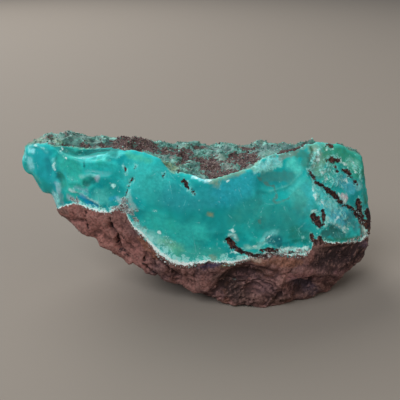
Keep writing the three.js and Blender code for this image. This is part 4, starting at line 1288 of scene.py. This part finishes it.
@dataclass
class NodePen:
    """Adds nodes to one node tree and joins them. Lengths are in millimetres.

    Attributes:
        tree: the tree that is drawn in.
    """

    tree: bpy.types.NodeTree

    def feed(self, socket: Socket, value: object) -> None:
        """Joins a socket to another one, or sets its own value.

        Args:
            socket: the input.
            value: an output or a constant.
        """
        if isinstance(value, bpy.types.NodeSocket):
            self.tree.links.new(value, socket)
        else:
            socket.default_value = value

    def wire(self, node: bpy.types.Node, inputs: dict[str | int, object]) -> bpy.types.Node:
        """Feeds some inputs of a node.

        Args:
            node: the node.
            inputs: what each input takes, by name or by place.

        Returns:
            The same node.
        """
        for key, value in inputs.items():
            self.feed(node.inputs[key], value)
        return node

    def node(self, kind: str, **settings: object) -> bpy.types.Node:
        """Adds a node.

        Args:
            kind: its type.
            settings: its options.

        Returns:
            The node.
        """
        made = self.tree.nodes.new(kind)
        for name, value in settings.items():
            setattr(made, name, value)
        return made

    def math(self, operation: str, a: Number, b: Number, clamp: bool = False) -> Socket:
        """Works one number out from two, held from 0 to 1 if clamp is set."""
        made = self.node("ShaderNodeMath", operation=operation, use_clamp=clamp)
        return self.wire(made, {0: a, 1: b}).outputs[0]

    def plus(self, a: Number, b: Number) -> Socket:
        """Adds two numbers."""
        return self.math("ADD", a, b)

    def times(self, a: Number, b: Number, clamp: bool = False) -> Socket:
        """Multiplies two numbers."""
        return self.math("MULTIPLY", a, b, clamp)

    def mix(self, share: Number, a: object, b: object, blend: str = "MIX") -> Socket:
        """Mixes two colours."""
        made = self.node("ShaderNodeMix", data_type="RGBA", blend_type=blend)
        return self.wire(made, {0: share, 6: a, 7: b}).outputs[2]

    def blend(self, share: Number, a: Number, b: Number) -> Socket:
        """Mixes two numbers."""
        made = self.node("ShaderNodeMix", data_type="FLOAT")
        return self.wire(made, {0: share, 2: a, 3: b}).outputs[0]

    def ramp(self, value: Number, low: float, high: float, start: float = 0.0,
             end: float = 1.0) -> Socket:
        """Maps low to high onto start to end, eased and held beyond them."""
        made = self.node("ShaderNodeMapRange", interpolation_type="SMOOTHSTEP")
        return self.wire(made, dict(enumerate((value, low, high, start, end)))).outputs[0]

    def fray(self, value: Number, noise: Socket, low: float, high: float) -> Socket:
        """Adds low to high to a number, as noise says, so that the edge it draws is ragged."""
        return self.plus(value, self.ramp(noise, 0.3, 0.7, low, high))

    def attribute(self, name: str) -> Socket:
        """Reads a number stored on the mesh."""
        return self.node("ShaderNodeAttribute", attribute_name=name).outputs["Fac"]

    def tint(self) -> tuple[Socket, Socket]:
        """Reads the colour stored on the mesh and its cover."""
        stored = self.node("ShaderNodeAttribute", attribute_name="tint")
        return stored.outputs["Color"], stored.outputs["Alpha"]

    def place(self, stretch: Triple = (1.0, 1.0, 1.0), shift: Triple = (0.0, 0.0, 0.0),
              turn: float = 0.0) -> Socket:
        """Gives the position on the piece.

        Args:
            stretch: how much wider it is made along each axis.
            shift: how far it is moved.
            turn: how far it is first turned about Y, in radians.

        Returns:
            The position.
        """
        where = self.node("ShaderNodeTexCoord").outputs["Object"]
        if turn:
            leaning = self.node("ShaderNodeVectorRotate", rotation_type="Y_AXIS")
            where = self.wire(leaning, {"Vector": where, "Angle": turn}).outputs["Vector"]
        scale = tuple(part / MM for part in stretch)
        mapped = {"Vector": where, "Scale": scale, "Location": shift}
        return self.wire(self.node("ShaderNodeMapping"), mapped).outputs["Vector"]

    def noise(self, where: Socket, size: float, detail: float = 3.0, rough: float = 0.55,
              warp: float = 0.0) -> Socket:
        """Draws smooth noise.

        Args:
            where: position.
            size: width of its humps.
            detail: how many finer layers it has.
            rough: how strong they are.
            warp: how bent it is.

        Returns:
            A number from 0 to 1.
        """
        inputs = {"Vector": where, "Scale": 1.0 / size, "Detail": detail, "Roughness": rough,
                  "Distortion": warp}
        return self.wire(self.node("ShaderNodeTexNoise"), inputs).outputs["Fac"]

    def cells(self, where: Socket, size: float, feature: str = "F1") -> bpy.types.Node:
        """Draws cells of one size round random middles; feature is what is measured."""
        made = self.node("ShaderNodeTexVoronoi", feature=feature)
        return self.wire(made, {"Vector": where, "Scale": 1.0 / size, "Randomness": 1.0})

    def pick(self, cells: bpy.types.Node) -> Socket:
        """Gives each cell its own random number from 0 to 1."""
        parts = self.node("ShaderNodeSeparateColor")
        return self.wire(parts, {"Color": cells.outputs["Color"]}).outputs[0]


class Finish:
    """A node group that gives the colour, roughness and height of one rock.

    Attributes:
        label: name of the group.
    """

    label: str = "finish"

    def build(self) -> bpy.types.ShaderNodeTree:
        """Makes the group, or finds it if it is made already.

        Returns:
            The group.
        """
        if self.label in bpy.data.node_groups:
            return bpy.data.node_groups[self.label]
        tree = bpy.data.node_groups.new(self.label, "ShaderNodeTree")
        sockets = {"Color": "NodeSocketColor", "Roughness": "NodeSocketFloat",
                   "Height": "NodeSocketFloat"}
        for name, kind in sockets.items():
            tree.interface.new_socket(name, in_out="OUTPUT", socket_type=kind)
        pen = NodePen(tree)
        results = self.draw(pen)
        pen.wire(pen.node("NodeGroupOutput"), dict(enumerate(results)))
        return tree

    def draw(self, pen: NodePen) -> Drawn:
        """Draws the nodes.

        Args:
            pen: draws in the group's tree.

        Returns:
            Colour, roughness and height (in millimetres).
        """
        raise NotImplementedError


@dataclass(frozen=True)
class ChalcedonyFinish(Finish):
    """Waxy blue-green chalcedony, clearer and deeper inside, milky where it is thin."""

    label: str = "chalcedony_finish"
    deep: Shade = linear(0x089498)
    body: Shade = linear(0x14ACAA)
    bright: Shade = linear(0x40CCC6)
    green: Shade = linear(0x28B08E)
    milk: Shade = linear(0x96DED8)
    cream: Shade = linear(0xE4F0EC)
    flaw: Shade = linear(0x547468)
    white: Shade = linear(0xCCF0EC)
    edge: Shade = linear(0x96B696)

    def draw(self, pen: NodePen) -> Drawn:
        """Draws the seam in layers, from its clouds to the white rim.

        Args:
            pen: draws in the group's tree.

        Returns:
            Colour, roughness and height.
        """
        at = pen.place()
        seam, rim = pen.attribute("seam"), pen.attribute("rim")
        crust = pen.attribute("crust")
        small = pen.noise(at, 3.6, 4.0, 0.6, 0.6)
        ragged = pen.noise(at, 0.9, 4.0, 0.65)
        fine = pen.noise(pen.place((1.0, 1.0, 0.25)), 1.1, 3.0, 0.6)
        # clouds
        cloud = pen.noise(at, 12.0, warp=0.4)
        colour = pen.mix(pen.ramp(cloud, 0.38, 0.62), self.deep, self.body)
        colour = pen.mix(pen.ramp(small, 0.54, 0.78, 0.0, 0.4), colour, self.bright)
        greenish = pen.noise(pen.place(shift=(40.0, 7.0, 3.0)), 9.0, 3.0, 0.6)
        colour = pen.mix(pen.ramp(greenish, 0.56, 0.75, 0.0, 0.45), colour, self.green)
        # strokes of colour stored on the mesh, painted highlights, glints and shade among them
        stroke, cover = pen.tint()
        uneven = pen.ramp(ragged, 0.3, 0.7, 0.72, 1.15)
        colour = pen.mix(pen.times(cover, uneven, clamp=True), colour, stroke)
        mottle = pen.ramp(pen.noise(at, 1.8, 4.0, 0.6), 0.3, 0.7, 0.9, 1.1)
        colour = pen.mix(1.0, colour, mottle, "MULTIPLY")
        # streaks and specks near the contact, the specks partly painted glints, and flaws
        streak = pen.times(pen.ramp(fine, 0.54, 0.74), pen.ramp(seam, 5.0, 0.3, 0.0, 0.35))
        colour = pen.mix(streak, colour, self.milk)
        dots = pen.cells(at, 1.6)
        speck_and_glint = pen.ramp(dots.outputs["Distance"], 0.2, 0.08)
        speck_and_glint = pen.times(speck_and_glint, pen.ramp(pen.pick(dots), 0.6, 0.75))
        speck_and_glint = pen.times(speck_and_glint, pen.plus(0.35, pen.ramp(seam, 9.0, 0.5)))
        colour = pen.mix(pen.times(speck_and_glint, 0.8, clamp=True), colour, self.milk)
        colour = pen.mix(pen.ramp(pen.attribute("flaw"), -0.25, 0.2, 0.0, 0.6), colour, self.flaw)
        # frost: fans of needles in two directions, and pale ridges
        frost = pen.fray(pen.attribute("frost"), ragged, -0.8, 0.8)
        needles, fans = (
            pen.noise(pen.place((1.0, 1.0, 0.22), turn=turn), 0.55, 3.0, 0.7, 0.3)
            for turn in (-0.8, 0.7)
        )
        needles = pen.blend(pen.ramp(small, 0.48, 0.52), needles, fans)
        ridge = pen.ramp(pen.attribute("hollow"), -0.15, -0.7, 0.0, 0.8)
        needles = pen.math("MAXIMUM", pen.ramp(needles, 0.47, 0.62, 0.0, 0.9), ridge)
        icy = pen.times(pen.ramp(frost, -0.2, 0.9), needles)
        colour = pen.mix(icy, colour, self.milk)
        colour = pen.mix(pen.times(ridge, 0.22), colour, self.bright)
        # the rim: a spotty glow, and white quartz along the contact
        reach = pen.math("DIVIDE", pen.fray(seam, ragged, -0.35, 0.35), rim)
        spots = pen.noise(pen.place(shift=(6.0, 1.0, 8.0)), 1.3, 4.0, 0.75)
        spots = pen.plus(spots, pen.ramp(reach, 1.0, 4.4, 0.07, -0.1))
        glow = pen.times(pen.ramp(reach, 4.8, 3.4), pen.ramp(spots, 0.48, 0.55, 0.0, 0.9))
        colour = pen.mix(glow, colour, self.milk)
        sandy = pen.ramp(pen.pick(pen.cells(at, 0.5)), 0.1, 0.5, 0.8, 1.0)
        milky = pen.times(pen.ramp(reach, 1.1, 0.6, 0.0, 0.95), sandy)
        brink = pen.ramp(pen.fray(seam, ragged, -0.25, 0.25), 0.5, 0.25, 0.0, 0.9)
        milky = pen.math("MAXIMUM", milky, pen.times(brink, pen.ramp(rim, 0.2, 0.5)))
        colour = pen.mix(milky, colour, self.cream)
        # white veins and painted glints, the dusty edge under the crust, and a faint web
        vein = pen.ramp(pen.fray(pen.attribute("vein"), ragged, -0.2, 0.3), -0.1, 0.4)
        vein = pen.times(vein, pen.ramp(fine, 0.4, 0.6, 0.45, 0.95))
        colour = pen.mix(vein, colour, self.white)
        edge = pen.ramp(pen.fray(crust, ragged, -0.4, 0.4), -0.7, -0.25)
        edge = pen.times(edge, pen.ramp(small, 0.35, 0.6, 0.05, 0.5))
        edge = pen.times(edge, pen.ramp(cover, 0.9, 0.5))
        colour = pen.mix(edge, colour, self.edge)
        web = pen.cells(pen.place((1.0, 1.0, 0.7), turn=0.5), 7.0, "DISTANCE_TO_EDGE")
        web = pen.fray(web.outputs["Distance"], ragged, -0.012, 0.03)
        web = pen.times(pen.ramp(web, 0.02, 0.002), pen.ramp(small, 0.5, 0.62, 0.0, 0.35))
        colour = pen.mix(web, colour, self.milk)
        rough = pen.plus(pen.ramp(small, 0.3, 0.7, 0.24, 0.4), pen.times(milky, 0.3))
        rough = pen.plus(rough, pen.ramp(crust, -8.0, -4.0, 0.0, 0.6))
        return colour, rough, pen.plus(pen.times(ragged, 0.05), pen.times(icy, 0.2))


@dataclass(frozen=True)
class IronstoneFinish(Finish):
    """Earthy red-brown ironstone with crumbly grains and painted shade in its hollows."""

    label: str = "ironstone_finish"
    earth: Shade = linear(0x7C5650)
    plum: Shade = linear(0x624646)
    # dark grains, and the painted shade of the hollows
    dark: Shade = linear(0x281C1D)
    dust: Shade = linear(0x9C7870)
    rust: Shade = linear(0x7E5036)

    def draw(self, pen: NodePen) -> Drawn:
        """Draws earth, grains, dust, rust and painted shade in the hollows.

        Args:
            pen: draws in the group's tree.

        Returns:
            Colour, roughness and height.
        """
        at = pen.place()
        broad = pen.noise(at, 12.0, 4.0, 0.6)
        colour = pen.mix(pen.ramp(broad, 0.4, 0.6), self.earth, self.plum)
        # strokes of colour from the mesh, painted shade on the lower right and the bottom among them
        stroke, cover = pen.tint()
        colour = pen.mix(cover, colour, stroke)
        grain = pen.cells(at, 0.6)
        shade = pen.ramp(pen.pick(grain), 0.0, 1.0, 0.68, 1.28)
        colour = pen.mix(1.0, colour, shade, "MULTIPLY")
        crumbs = pen.noise(at, 1.2, 5.0, 0.75)
        colour = pen.mix(pen.ramp(crumbs, 0.46, 0.3, 0.0, 0.7), colour, self.dark)
        hollow = pen.attribute("hollow")
        # painted shade: darker where the surface dips
        colour = pen.mix(pen.ramp(hollow, 0.15, 1.0, 0.0, 0.55), colour, self.dark)
        dusty = pen.times(pen.ramp(hollow, 0.1, -0.6), pen.ramp(crumbs, 0.42, 0.65))
        colour = pen.mix(pen.times(dusty, 0.55), colour, self.dust)
        rusty = pen.noise(pen.place(shift=(9.0, 2.0, 31.0)), 8.0, 4.0, 0.65)
        colour = pen.mix(pen.ramp(rusty, 0.6, 0.78, 0.0, 0.4), colour, self.rust)
        lump = pen.ramp(grain.outputs["Distance"], 0.9, 0.0)
        return colour, 0.86, pen.plus(pen.times(lump, 0.08), pen.times(crumbs, 0.4))


@dataclass(frozen=True)
class DruseFinish(Finish):
    """Grey-green crust of tiny quartz grains with brown earth and painted shade in its hollows."""

    label: str = "druse_finish"
    grey: Shade = linear(0x4A8278)
    mint: Shade = linear(0x6AB6A8)
    shade: Shade = linear(0x245A54)
    # dark gaps between the grains, and the painted shade of the dips
    dark_gap_and_shade: Shade = linear(0x1E2A2A)
    olive: Shade = linear(0x707C5A)
    taupe: Shade = linear(0x705C58)
    brown: Shade = linear(0x543E3C)
    dark: Shade = linear(0x2C1E21)
    pale: Shade = linear(0x9A867E)

    def draw(self, pen: NodePen) -> Drawn:
        """Draws the green and grey blotches, their gaps, the stains, the earth and painted shade in the
        dips.

        Args:
            pen: draws in the group's tree.

        Returns:
            Colour, roughness and height.
        """
        at = pen.place()
        tone = pen.noise(at, 3.4, 5.0, 0.6)
        blotch = pen.noise(pen.place(shift=(17.0, 3.0, 9.0)), 3.0, 4.0, 0.6)
        stain = pen.noise(pen.place(shift=(5.0, 21.0, 1.0)), 4.0, 4.0, 0.6)
        crumbs = pen.noise(at, 1.4, 5.0, 0.7)
        hollow = pen.attribute("hollow")
        colour = pen.mix(pen.ramp(tone, 0.4, 0.58), self.shade, self.grey)
        colour = pen.mix(pen.ramp(blotch, 0.52, 0.66, 0.0, 0.85), colour, self.mint)
        colour = pen.mix(pen.ramp(stain, 0.58, 0.7, 0.0, 0.5), colour, self.olive)
        colour = pen.mix(pen.ramp(stain, 0.42, 0.32, 0.0, 0.7), colour, self.taupe)
        colour = pen.mix(pen.ramp(crumbs, 0.42, 0.28, 0.0, 0.8), colour, self.dark_gap_and_shade)
        stroke, cover = pen.tint()
        cover = pen.times(cover, pen.ramp(crumbs, 0.3, 0.6, 0.5, 1.1), clamp=True)
        colour = pen.mix(cover, colour, stroke)
        # painted shade: darker where the surface dips
        colour = pen.mix(pen.ramp(hollow, 0.3, 1.0, 0.0, 0.6), colour, self.dark_gap_and_shade)
        lumps = pen.noise(at, 0.7, 4.0, 0.75)
        soil = pen.mix(pen.ramp(lumps, 0.4, 0.56), self.dark, self.brown)
        soil = pen.mix(pen.ramp(lumps, 0.58, 0.72, 0.0, 0.6), soil, self.pale)
        soil = pen.mix(pen.ramp(blotch, 0.56, 0.7, 0.0, 0.55), soil, self.grey)
        earth = pen.fray(pen.attribute("earth"), crumbs, -1.0, 1.0)
        earth = pen.plus(earth, pen.times(hollow, 0.5))
        colour = pen.mix(pen.ramp(earth, -0.25, 0.35), colour, soil)
        lump = pen.ramp(pen.cells(at, 0.8).outputs["Distance"], 0.9, 0.0)
        height = pen.plus(pen.times(lump, 0.12), pen.times(crumbs, 0.5))
        return colour, pen.ramp(earth, -0.25, 0.35, 0.5, 0.85), height


@dataclass(frozen=True)
class StoneFinish(Finish):
    """The whole stone's surface: each rock where the mesh says it is."""

    label: str = "stone_finish"
    grit: Shade = linear(0x624642)
    soot: Shade = linear(0x261C1F)
    umber: Shade = linear(0x764832)
    ash: Shade = linear(0x928082)
    quartz: Shade = linear(0xB0CAC4)
    gain: Shade = (1.12, 1.12, 1.12, 1.0)

    def draw(self, pen: NodePen) -> Drawn:
        """Draws the three rocks over each other and the grit in the cracks.

        Args:
            pen: draws in the group's tree.

        Returns:
            Colour, roughness and height.
        """
        stone, iron, druse = (
            pen.node("ShaderNodeGroup", node_tree=finish.build()).outputs
            for finish in (ChalcedonyFinish(), IronstoneFinish(), DruseFinish())
        )
        ragged = pen.noise(pen.place(), 0.8, 3.0, 0.6)
        wobble = pen.ramp(ragged, 0.2, 0.8, -0.45, 0.45)
        fissure = pen.plus(pen.attribute("fissure"), wobble)
        crack = pen.ramp(fissure, -0.1, 0.16)
        seam = pen.ramp(pen.plus(pen.attribute("seam"), wobble), -0.08, 0.08)
        crust = pen.ramp(pen.plus(pen.attribute("crust"), wobble), -0.15, 0.15)
        crust = pen.times(crust, seam)
        # the seam, pale beside its cracks, over the ironstone
        patchy = pen.noise(pen.place(shift=(2.0, 2.0, 2.0)), 1.6)
        halo = pen.times(pen.ramp(fissure, -0.9, -0.2), pen.ramp(patchy, 0.45, 0.65, 0.0, 0.7))
        colour = pen.mix(halo, stone["Color"], ChalcedonyFinish.milk)
        colour = pen.mix(seam, iron["Color"], colour)
        # the fill of the cracks, and its mixture with quartz
        crumbs = pen.noise(pen.place(), 1.1, 4.0, 0.75)
        fill = pen.mix(pen.ramp(crumbs, 0.45, 0.64), self.soot, self.grit)
        amber = pen.noise(pen.place(shift=(9.0, 4.0, 1.0)), 2.4, 2.0, 0.6)
        fill = pen.mix(pen.ramp(amber, 0.52, 0.7, 0.0, 0.4), fill, self.umber)
        fine = pen.noise(pen.place(shift=(3.0, 3.0, 3.0)), 0.6, 3.0, 0.75)
        mixed = pen.mix(pen.ramp(fine, 0.36, 0.5), fill, self.ash)
        mixed = pen.mix(pen.ramp(fine, 0.48, 0.6), mixed, self.quartz)
        gritty = pen.plus(pen.attribute("grit"), pen.ramp(crumbs, 0.35, 0.65, -0.9, 0.9))
        colour = pen.mix(pen.ramp(gritty, -0.3, 0.3, 0.0, 0.85), colour, mixed)
        colour = pen.mix(crust, colour, druse["Color"])
        colour = pen.mix(crack, colour, fill)
        colour = pen.mix(1.0, colour, self.gain, "MULTIPLY")
        rough, height = (
            pen.blend(crust, pen.blend(seam, iron[name], stone[name]), druse[name])
            for name in ("Roughness", "Height")
        )
        rough = pen.blend(crack, rough, 0.85)
        return colour, rough, pen.blend(crack, height, pen.times(ragged, 0.3))


@dataclass(frozen=True)
class GrainFinish(Finish):
    """Loose grains: each one's own colour, a little uneven."""

    label: str = "grain_finish"
    roughness: float = 0.4

    def draw(self, pen: NodePen) -> Drawn:
        """Draws each grain's stored colour with fine clouds in it.

        Args:
            pen: draws in the group's tree.

        Returns:
            Colour, roughness and height.
        """
        cloud = pen.noise(pen.place(), 0.5, 3.0, 0.6)
        colour = pen.mix(1.0, pen.tint()[0], pen.ramp(cloud, 0.3, 0.7, 0.7, 1.25), "MULTIPLY")
        rough = pen.ramp(cloud, 0.3, 0.7, self.roughness - 0.1, self.roughness + 0.1)
        return colour, rough, pen.times(cloud, 0.1)


@dataclass(frozen=True)
class RockMaterial:
    """A material of the stone: a finish with its own depth and gloss.

    Attributes:
        name: the material's name.
        under: how much light spreads inside.
        spread: how far it spreads, in millimetres, red, green and blue.
        gloss: specular level.
        index: refractive index.
        finish: its colour, roughness and height.
        bump: strength of its fine relief.
    """

    name: str
    under: float = 0.0
    spread: Triple = (0.6, 1.6, 1.6)
    gloss: float = 0.5
    index: float = 1.54
    finish: Finish = StoneFinish()
    bump: float = 0.8

    def build(self) -> bpy.types.Material:
        """Makes the material.

        Returns:
            The material.
        """
        material = bpy.data.materials.new(self.name)
        material.use_nodes = True
        pen = NodePen(material.node_tree)
        drawn = pen.node("ShaderNodeGroup", node_tree=self.finish.build()).outputs
        relief = {"Height": drawn["Height"], "Distance": MM, "Strength": self.bump}
        pen.wire(material.node_tree.nodes["Principled BSDF"], {
            "Base Color": drawn["Color"],
            "Roughness": drawn["Roughness"],
            "Normal": pen.wire(pen.node("ShaderNodeBump"), relief).outputs["Normal"],
            "IOR": self.index,
            "Specular IOR Level": self.gloss,
            "Subsurface Weight": self.under,
            "Subsurface Radius": self.spread,
            "Subsurface Scale": MM,
        })
        return material


class Rock(Enum):
    """The stone's materials, in slot order."""

    CHALCEDONY = RockMaterial("chalcedony", under=0.35, gloss=0.15)
    IRONSTONE = RockMaterial("ironstone", gloss=0.25)
    DRUSE = RockMaterial("druse")


@dataclass(frozen=True)
class GrainCoat:
    """Small grains that sit on the stone's skin, in one piece.

    Attributes:
        name: the piece's name.
        count: how many grains.
        small: half the width of the smallest, in millimetres.
        large: half the width of the largest.
        palette: colours of the grains, from the dark to the pale.
        material: what they are made of.
        seed: which random grains.
        uneven: how much the distances of a grain's corners differ.
        lean: how far a grain leans from the surface's direction.
        rare: how much rarer large grains are than small ones, as a power.
        loose: how far a grain is moved from its place, in millimetres.
        mixed: how much the shades of neighbours differ.
    """

    name: str
    count: int
    small: float
    large: float
    palette: tuple[int, ...]
    material: RockMaterial
    seed: int
    uneven: float = 0.5
    lean: float = 0.9
    rare: float = 2.2
    loose: float = 0.5
    mixed: float = 0.45

    def blank(self) -> bpy.types.Mesh:
        """Makes all grains in one place, each a five-sided double pyramid.

        Returns:
            The mesh.
        """
        shape = bmesh.new()
        bmesh.ops.create_uvsphere(shape, u_segments=5, v_segments=2, radius=1.0)
        single = close_shape(shape, self.name)
        return modified(single, "ARRAY", count=self.count, use_relative_offset=False)

    def build(self, base: StoneSkin, chance: Array, soil: Array) -> bpy.types.Object:
        """Makes the piece.

        Args:
            base: the finished stone.
            chance: how readily a grain sits at each point of the stone.
            soil: share of brown grains at each point, from 0 to 1.

        Returns:
            The piece.
        """
        random = np.random.default_rng(self.seed)
        mesh = self.blank()
        each = (self.count, 3)
        corners = len(mesh.vertices) // self.count
        local = pull(mesh.vertices, "co").reshape(self.count, corners, 3)
        local = local * (1.0 + self.uneven * (random.random((self.count, corners, 1)) - 0.5))
        at = random.choice(len(chance), self.count, p=chance / chance.sum())
        up = base.skin.normals[at] + self.lean * (random.random(each) - 0.5)
        up /= np.linalg.norm(up, axis=1)[:, None]
        side = np.cross(up, random.random(each) - 0.5)
        side /= np.linalg.norm(side, axis=1)[:, None]
        axes = np.stack([side, np.cross(up, side), up], axis=1)
        half = self.small + (self.large - self.small) * random.random(self.count) ** self.rare
        stretch = half[:, None] * (0.7 + 0.6 * random.random(each))
        middle = base.skin.points[at] + self.loose * (random.random(each) - 0.5)
        points = middle[:, None, :] + np.einsum("nck,nkd->ncd", local * stretch[:, None, :], axes)
        points = np.clip(points.reshape(-1, 3), *base.limits)
        mesh.vertices.foreach_set("co", (points * MM).ravel())
        tone = 0.5 + 0.75 * layered_noise(middle, 3.2, self.seed)
        store(mesh, "tint", np.repeat(self.colours(tone, soil[at], random), corners, axis=0))
        mesh.update()
        mesh.shade_flat()
        mesh.materials.append(self.material.build())
        piece = add_object(self.name, mesh)
        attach(piece, "root")
        return piece

    def colours(self, tone: Array, soil: Array, random: np.random.Generator) -> Array:
        """Gives each grain a colour: its palette's, or brown where there is soil.

        Args:
            tone: how pale each grain's neighbourhood is.
            soil: its share of brown grains.
            random: source of the random numbers.

        Returns:
            One colour a grain, shape (n, 4).
        """
        clean, brown = (np.array([linear(one) for one in each]) for each in (self.palette, BROWNS))
        step = tone + self.mixed * (random.random(self.count) - 0.5)
        chosen = clean[np.clip(step * len(clean), 0, len(clean) - 1).astype(int)]
        soiled = brown[random.integers(0, len(brown), self.count)]
        return np.where((random.random(self.count) < soil)[:, None], soiled, chosen)


BROWNS = (
    0x584440, 0x443234, 0x6C564E, 0x322428, 0x503A42,
    0x927E76, 0x685E50,
)
CRUST_GRAINS = GrainCoat(
    "druse_grains", 9000, 0.1, 0.36,
    (0x2C5E58, 0x367068, 0x428074, 0x54846E, 0x4C9084,
     0x5CA294, 0x7CC0B4),
    RockMaterial("druse_grain", finish=GrainFinish(), bump=0.4), 5,
)
QUARTZ_GRAINS = GrainCoat(
    "quartz_grains", 2600, 0.08, 0.22,
    (0x60B8B2, 0x8CCEC8, 0xB0DCD6, 0xCCE6E0, 0xE0F0EC),
    RockMaterial("quartz_grain", under=0.2, finish=GrainFinish("quartz_finish", 0.25), bump=0.3), 6,
)
IRON_CRUMBS = GrainCoat(
    "ironstone_crumbs", 3400, 0.08, 0.24,
    (0x3A2A2A, 0x543A38, 0x604440, 0x704E48, 0x78544C,
     0x8C6860),
    RockMaterial("ironstone_crumb", gloss=0.2, finish=GrainFinish("crumb_finish", 0.8), bump=0.5), 7,
)


@dataclass
class ChrysopraseStone:
    """The specimen itself: its skin, dressed in the three rocks.

    Attributes:
        skin: the carved skin.
    """

    skin: StoneSkin = field(default_factory=StoneSkin)

    def build(self) -> bpy.types.Object:
        """Makes the stone, dresses it and puts it in the frame.

        Returns:
            The stone.
        """
        stone = self.skin.build()
        self.dress(stone.data)
        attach(stone, "root")
        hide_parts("stone")
        return stone

    def scatter(self) -> list[bpy.types.Object]:
        """Sets the grains on the crust, on the white quartz and on the ironstone.

        Returns:
            The three pieces.
        """
        fields = self.skin.fields
        seam, crust, rim = fields["seam"], fields["crust"], fields["rim"]
        on_crust = smoothstep(0.1, 0.7, crust) * smoothstep(0.2, 0.8, seam)
        earth = smoothstep(-0.5, 0.7, fields["earth"])
        grit = smoothstep(-0.3, 0.4, fields["grit"]) * 0.25
        band = smoothstep(1.6, 0.4, np.abs(seam) / rim) * (rim > 0.25) * 0.3
        white = np.maximum(grit, band) * (on_crust < 0.1)
        iron = smoothstep(-0.5, -1.0, seam) * smoothstep(0.6, 1.6, self.skin.skin.z)
        iron = np.maximum(iron, smoothstep(0.0, 0.3, fields["fissure"]))
        return [
            CRUST_GRAINS.build(self.skin, on_crust * (0.3 + 0.7 * earth), 0.9 * earth + 0.04),
            QUARTZ_GRAINS.build(self.skin, white, 1.2 * grit),
            IRON_CRUMBS.build(self.skin, iron, np.zeros_like(iron)),
        ]

    def dress(self, mesh: bpy.types.Mesh) -> None:
        """Gives each face the material of the rock that it lies in.

        Args:
            mesh: the stone's mesh.
        """
        for rock in Rock:
            mesh.materials.append(rock.value.build())
        rocks = list(Rock)
        outside = np.where(self.skin.fields["crust"] > 0, rocks.index(Rock.DRUSE), 0)
        kind = np.where(self.skin.fields["seam"] < 0, rocks.index(Rock.IRONSTONE), outside)
        starts = pull(mesh.polygons, "loop_start", 1, np.int32)[:, 0]
        corners = pull(mesh.loops, "vertex_index", 1, np.int32)[:, 0]
        mesh.polygons.foreach_set("material_index", kind[corners[starts]].astype(np.int32))
        mesh.update()


# ---------------------------------------------------------------- stage, light, camera


@dataclass(frozen=True)
class Studio:
    """Floor, lights and camera round the stone. Lengths are in metres.

    Attributes:
        floor_reach: half the floor's width.
        floor_colour: the floor's colour.
        aim: the place the lights point at.
        eye: the camera's place.
        look_up: how far the camera is raised from looking straight down, in degrees.
        view: its angle of view, in degrees.
    """

    floor_reach: float = 6.0
    floor_colour: Shade = linear(0x847D75)
    aim: Triple = (0.0, 0.0, 0.03)
    eye: Triple = (-0.15 * MM, -177.0 * MM, 112.1 * MM)
    look_up: float = 65.0
    view: float = 40.0

    def floor(self) -> None:
        """Makes a plain pale floor under the stone."""
        shape = bmesh.new()
        bmesh.ops.create_grid(shape, x_segments=1, y_segments=1, size=self.floor_reach)
        mesh = close_shape(shape, "floor")
        material = bpy.data.materials.new("pale_floor")
        material.use_nodes = True
        NodePen(material.node_tree).wire(material.node_tree.nodes["Principled BSDF"], {
            "Base Color": self.floor_colour,
            "Roughness": 0.8,
            "Specular IOR Level": 0.2,
        })
        mesh.materials.append(material)
        floor = add_object("floor", mesh)

    def area_light(self, name: str, at: Triple, size: float, power: float, tint: Triple) -> None:
        """Hangs a square soft light that points at the stone.

        Args:
            name: its name.
            at: its place.
            size: its width.
            power: its power, in watts.
            tint: its colour.
        """
        light = bpy.data.lights.new(name, "AREA")
        light.shape = "SQUARE"
        light.size = size
        light.energy = power
        light.color = tint
        holder = add_object(name, light)
        holder.location = at
        aim = Vector(self.aim) - Vector(at)
        holder.rotation_euler = aim.to_track_quat("-Z", "Y").to_euler()

    def light(self) -> None:
        """Sets a large window light behind and to the left, two weak fills and a pale sky."""
        self.area_light("window", (-0.5, 0.75, 0.85), 0.9, 13.4, (1.0, 0.98, 0.95))
        self.area_light("fill", (-0.6, -0.64, 1.02), 0.8, 12.4, (0.96, 0.98, 1.0))
        self.area_light("bounce", (0.75, -0.45, 0.45), 0.8, 1.6, (1.0, 0.78, 0.58))
        world = bpy.data.worlds.new("pale_sky")
        world.use_nodes = True
        sky = world.node_tree.nodes["Background"]
        sky.inputs["Color"].default_value = (0.86, 0.9, 0.94, 1.0)
        sky.inputs["Strength"].default_value = 0.27
        scene = bpy.context.scene
        scene.world = world
        scene.view_settings.view_transform = "Standard"

    def camera(self) -> None:
        """Sets the camera in front of the stone, looking down on it."""
        lens = bpy.data.cameras.new("camera")
        lens.sensor_width = 36.0
        lens.angle = math.radians(self.view)
        lens.clip_start = 0.01
        holder = add_object("camera", lens)
        holder.location = self.eye
        holder.rotation_euler = (math.radians(self.look_up), 0.0, 0.0)
        bpy.context.scene.camera = holder


def main() -> None:
    """Builds the stone and its stage and logs the points and faces of each piece."""
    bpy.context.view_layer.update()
    studio = Studio()
    studio.camera()
    specimen = ChrysopraseStone()
    for piece in [specimen.build()] + specimen.scatter():
        mesh = piece.data
        LOG.info("%s: %d points, %d faces", piece.name, len(mesh.vertices), len(mesh.polygons))
    studio.floor()
    studio.light()


if __name__ == "__main__":
    logging.basicConfig(level=logging.INFO)
    main()
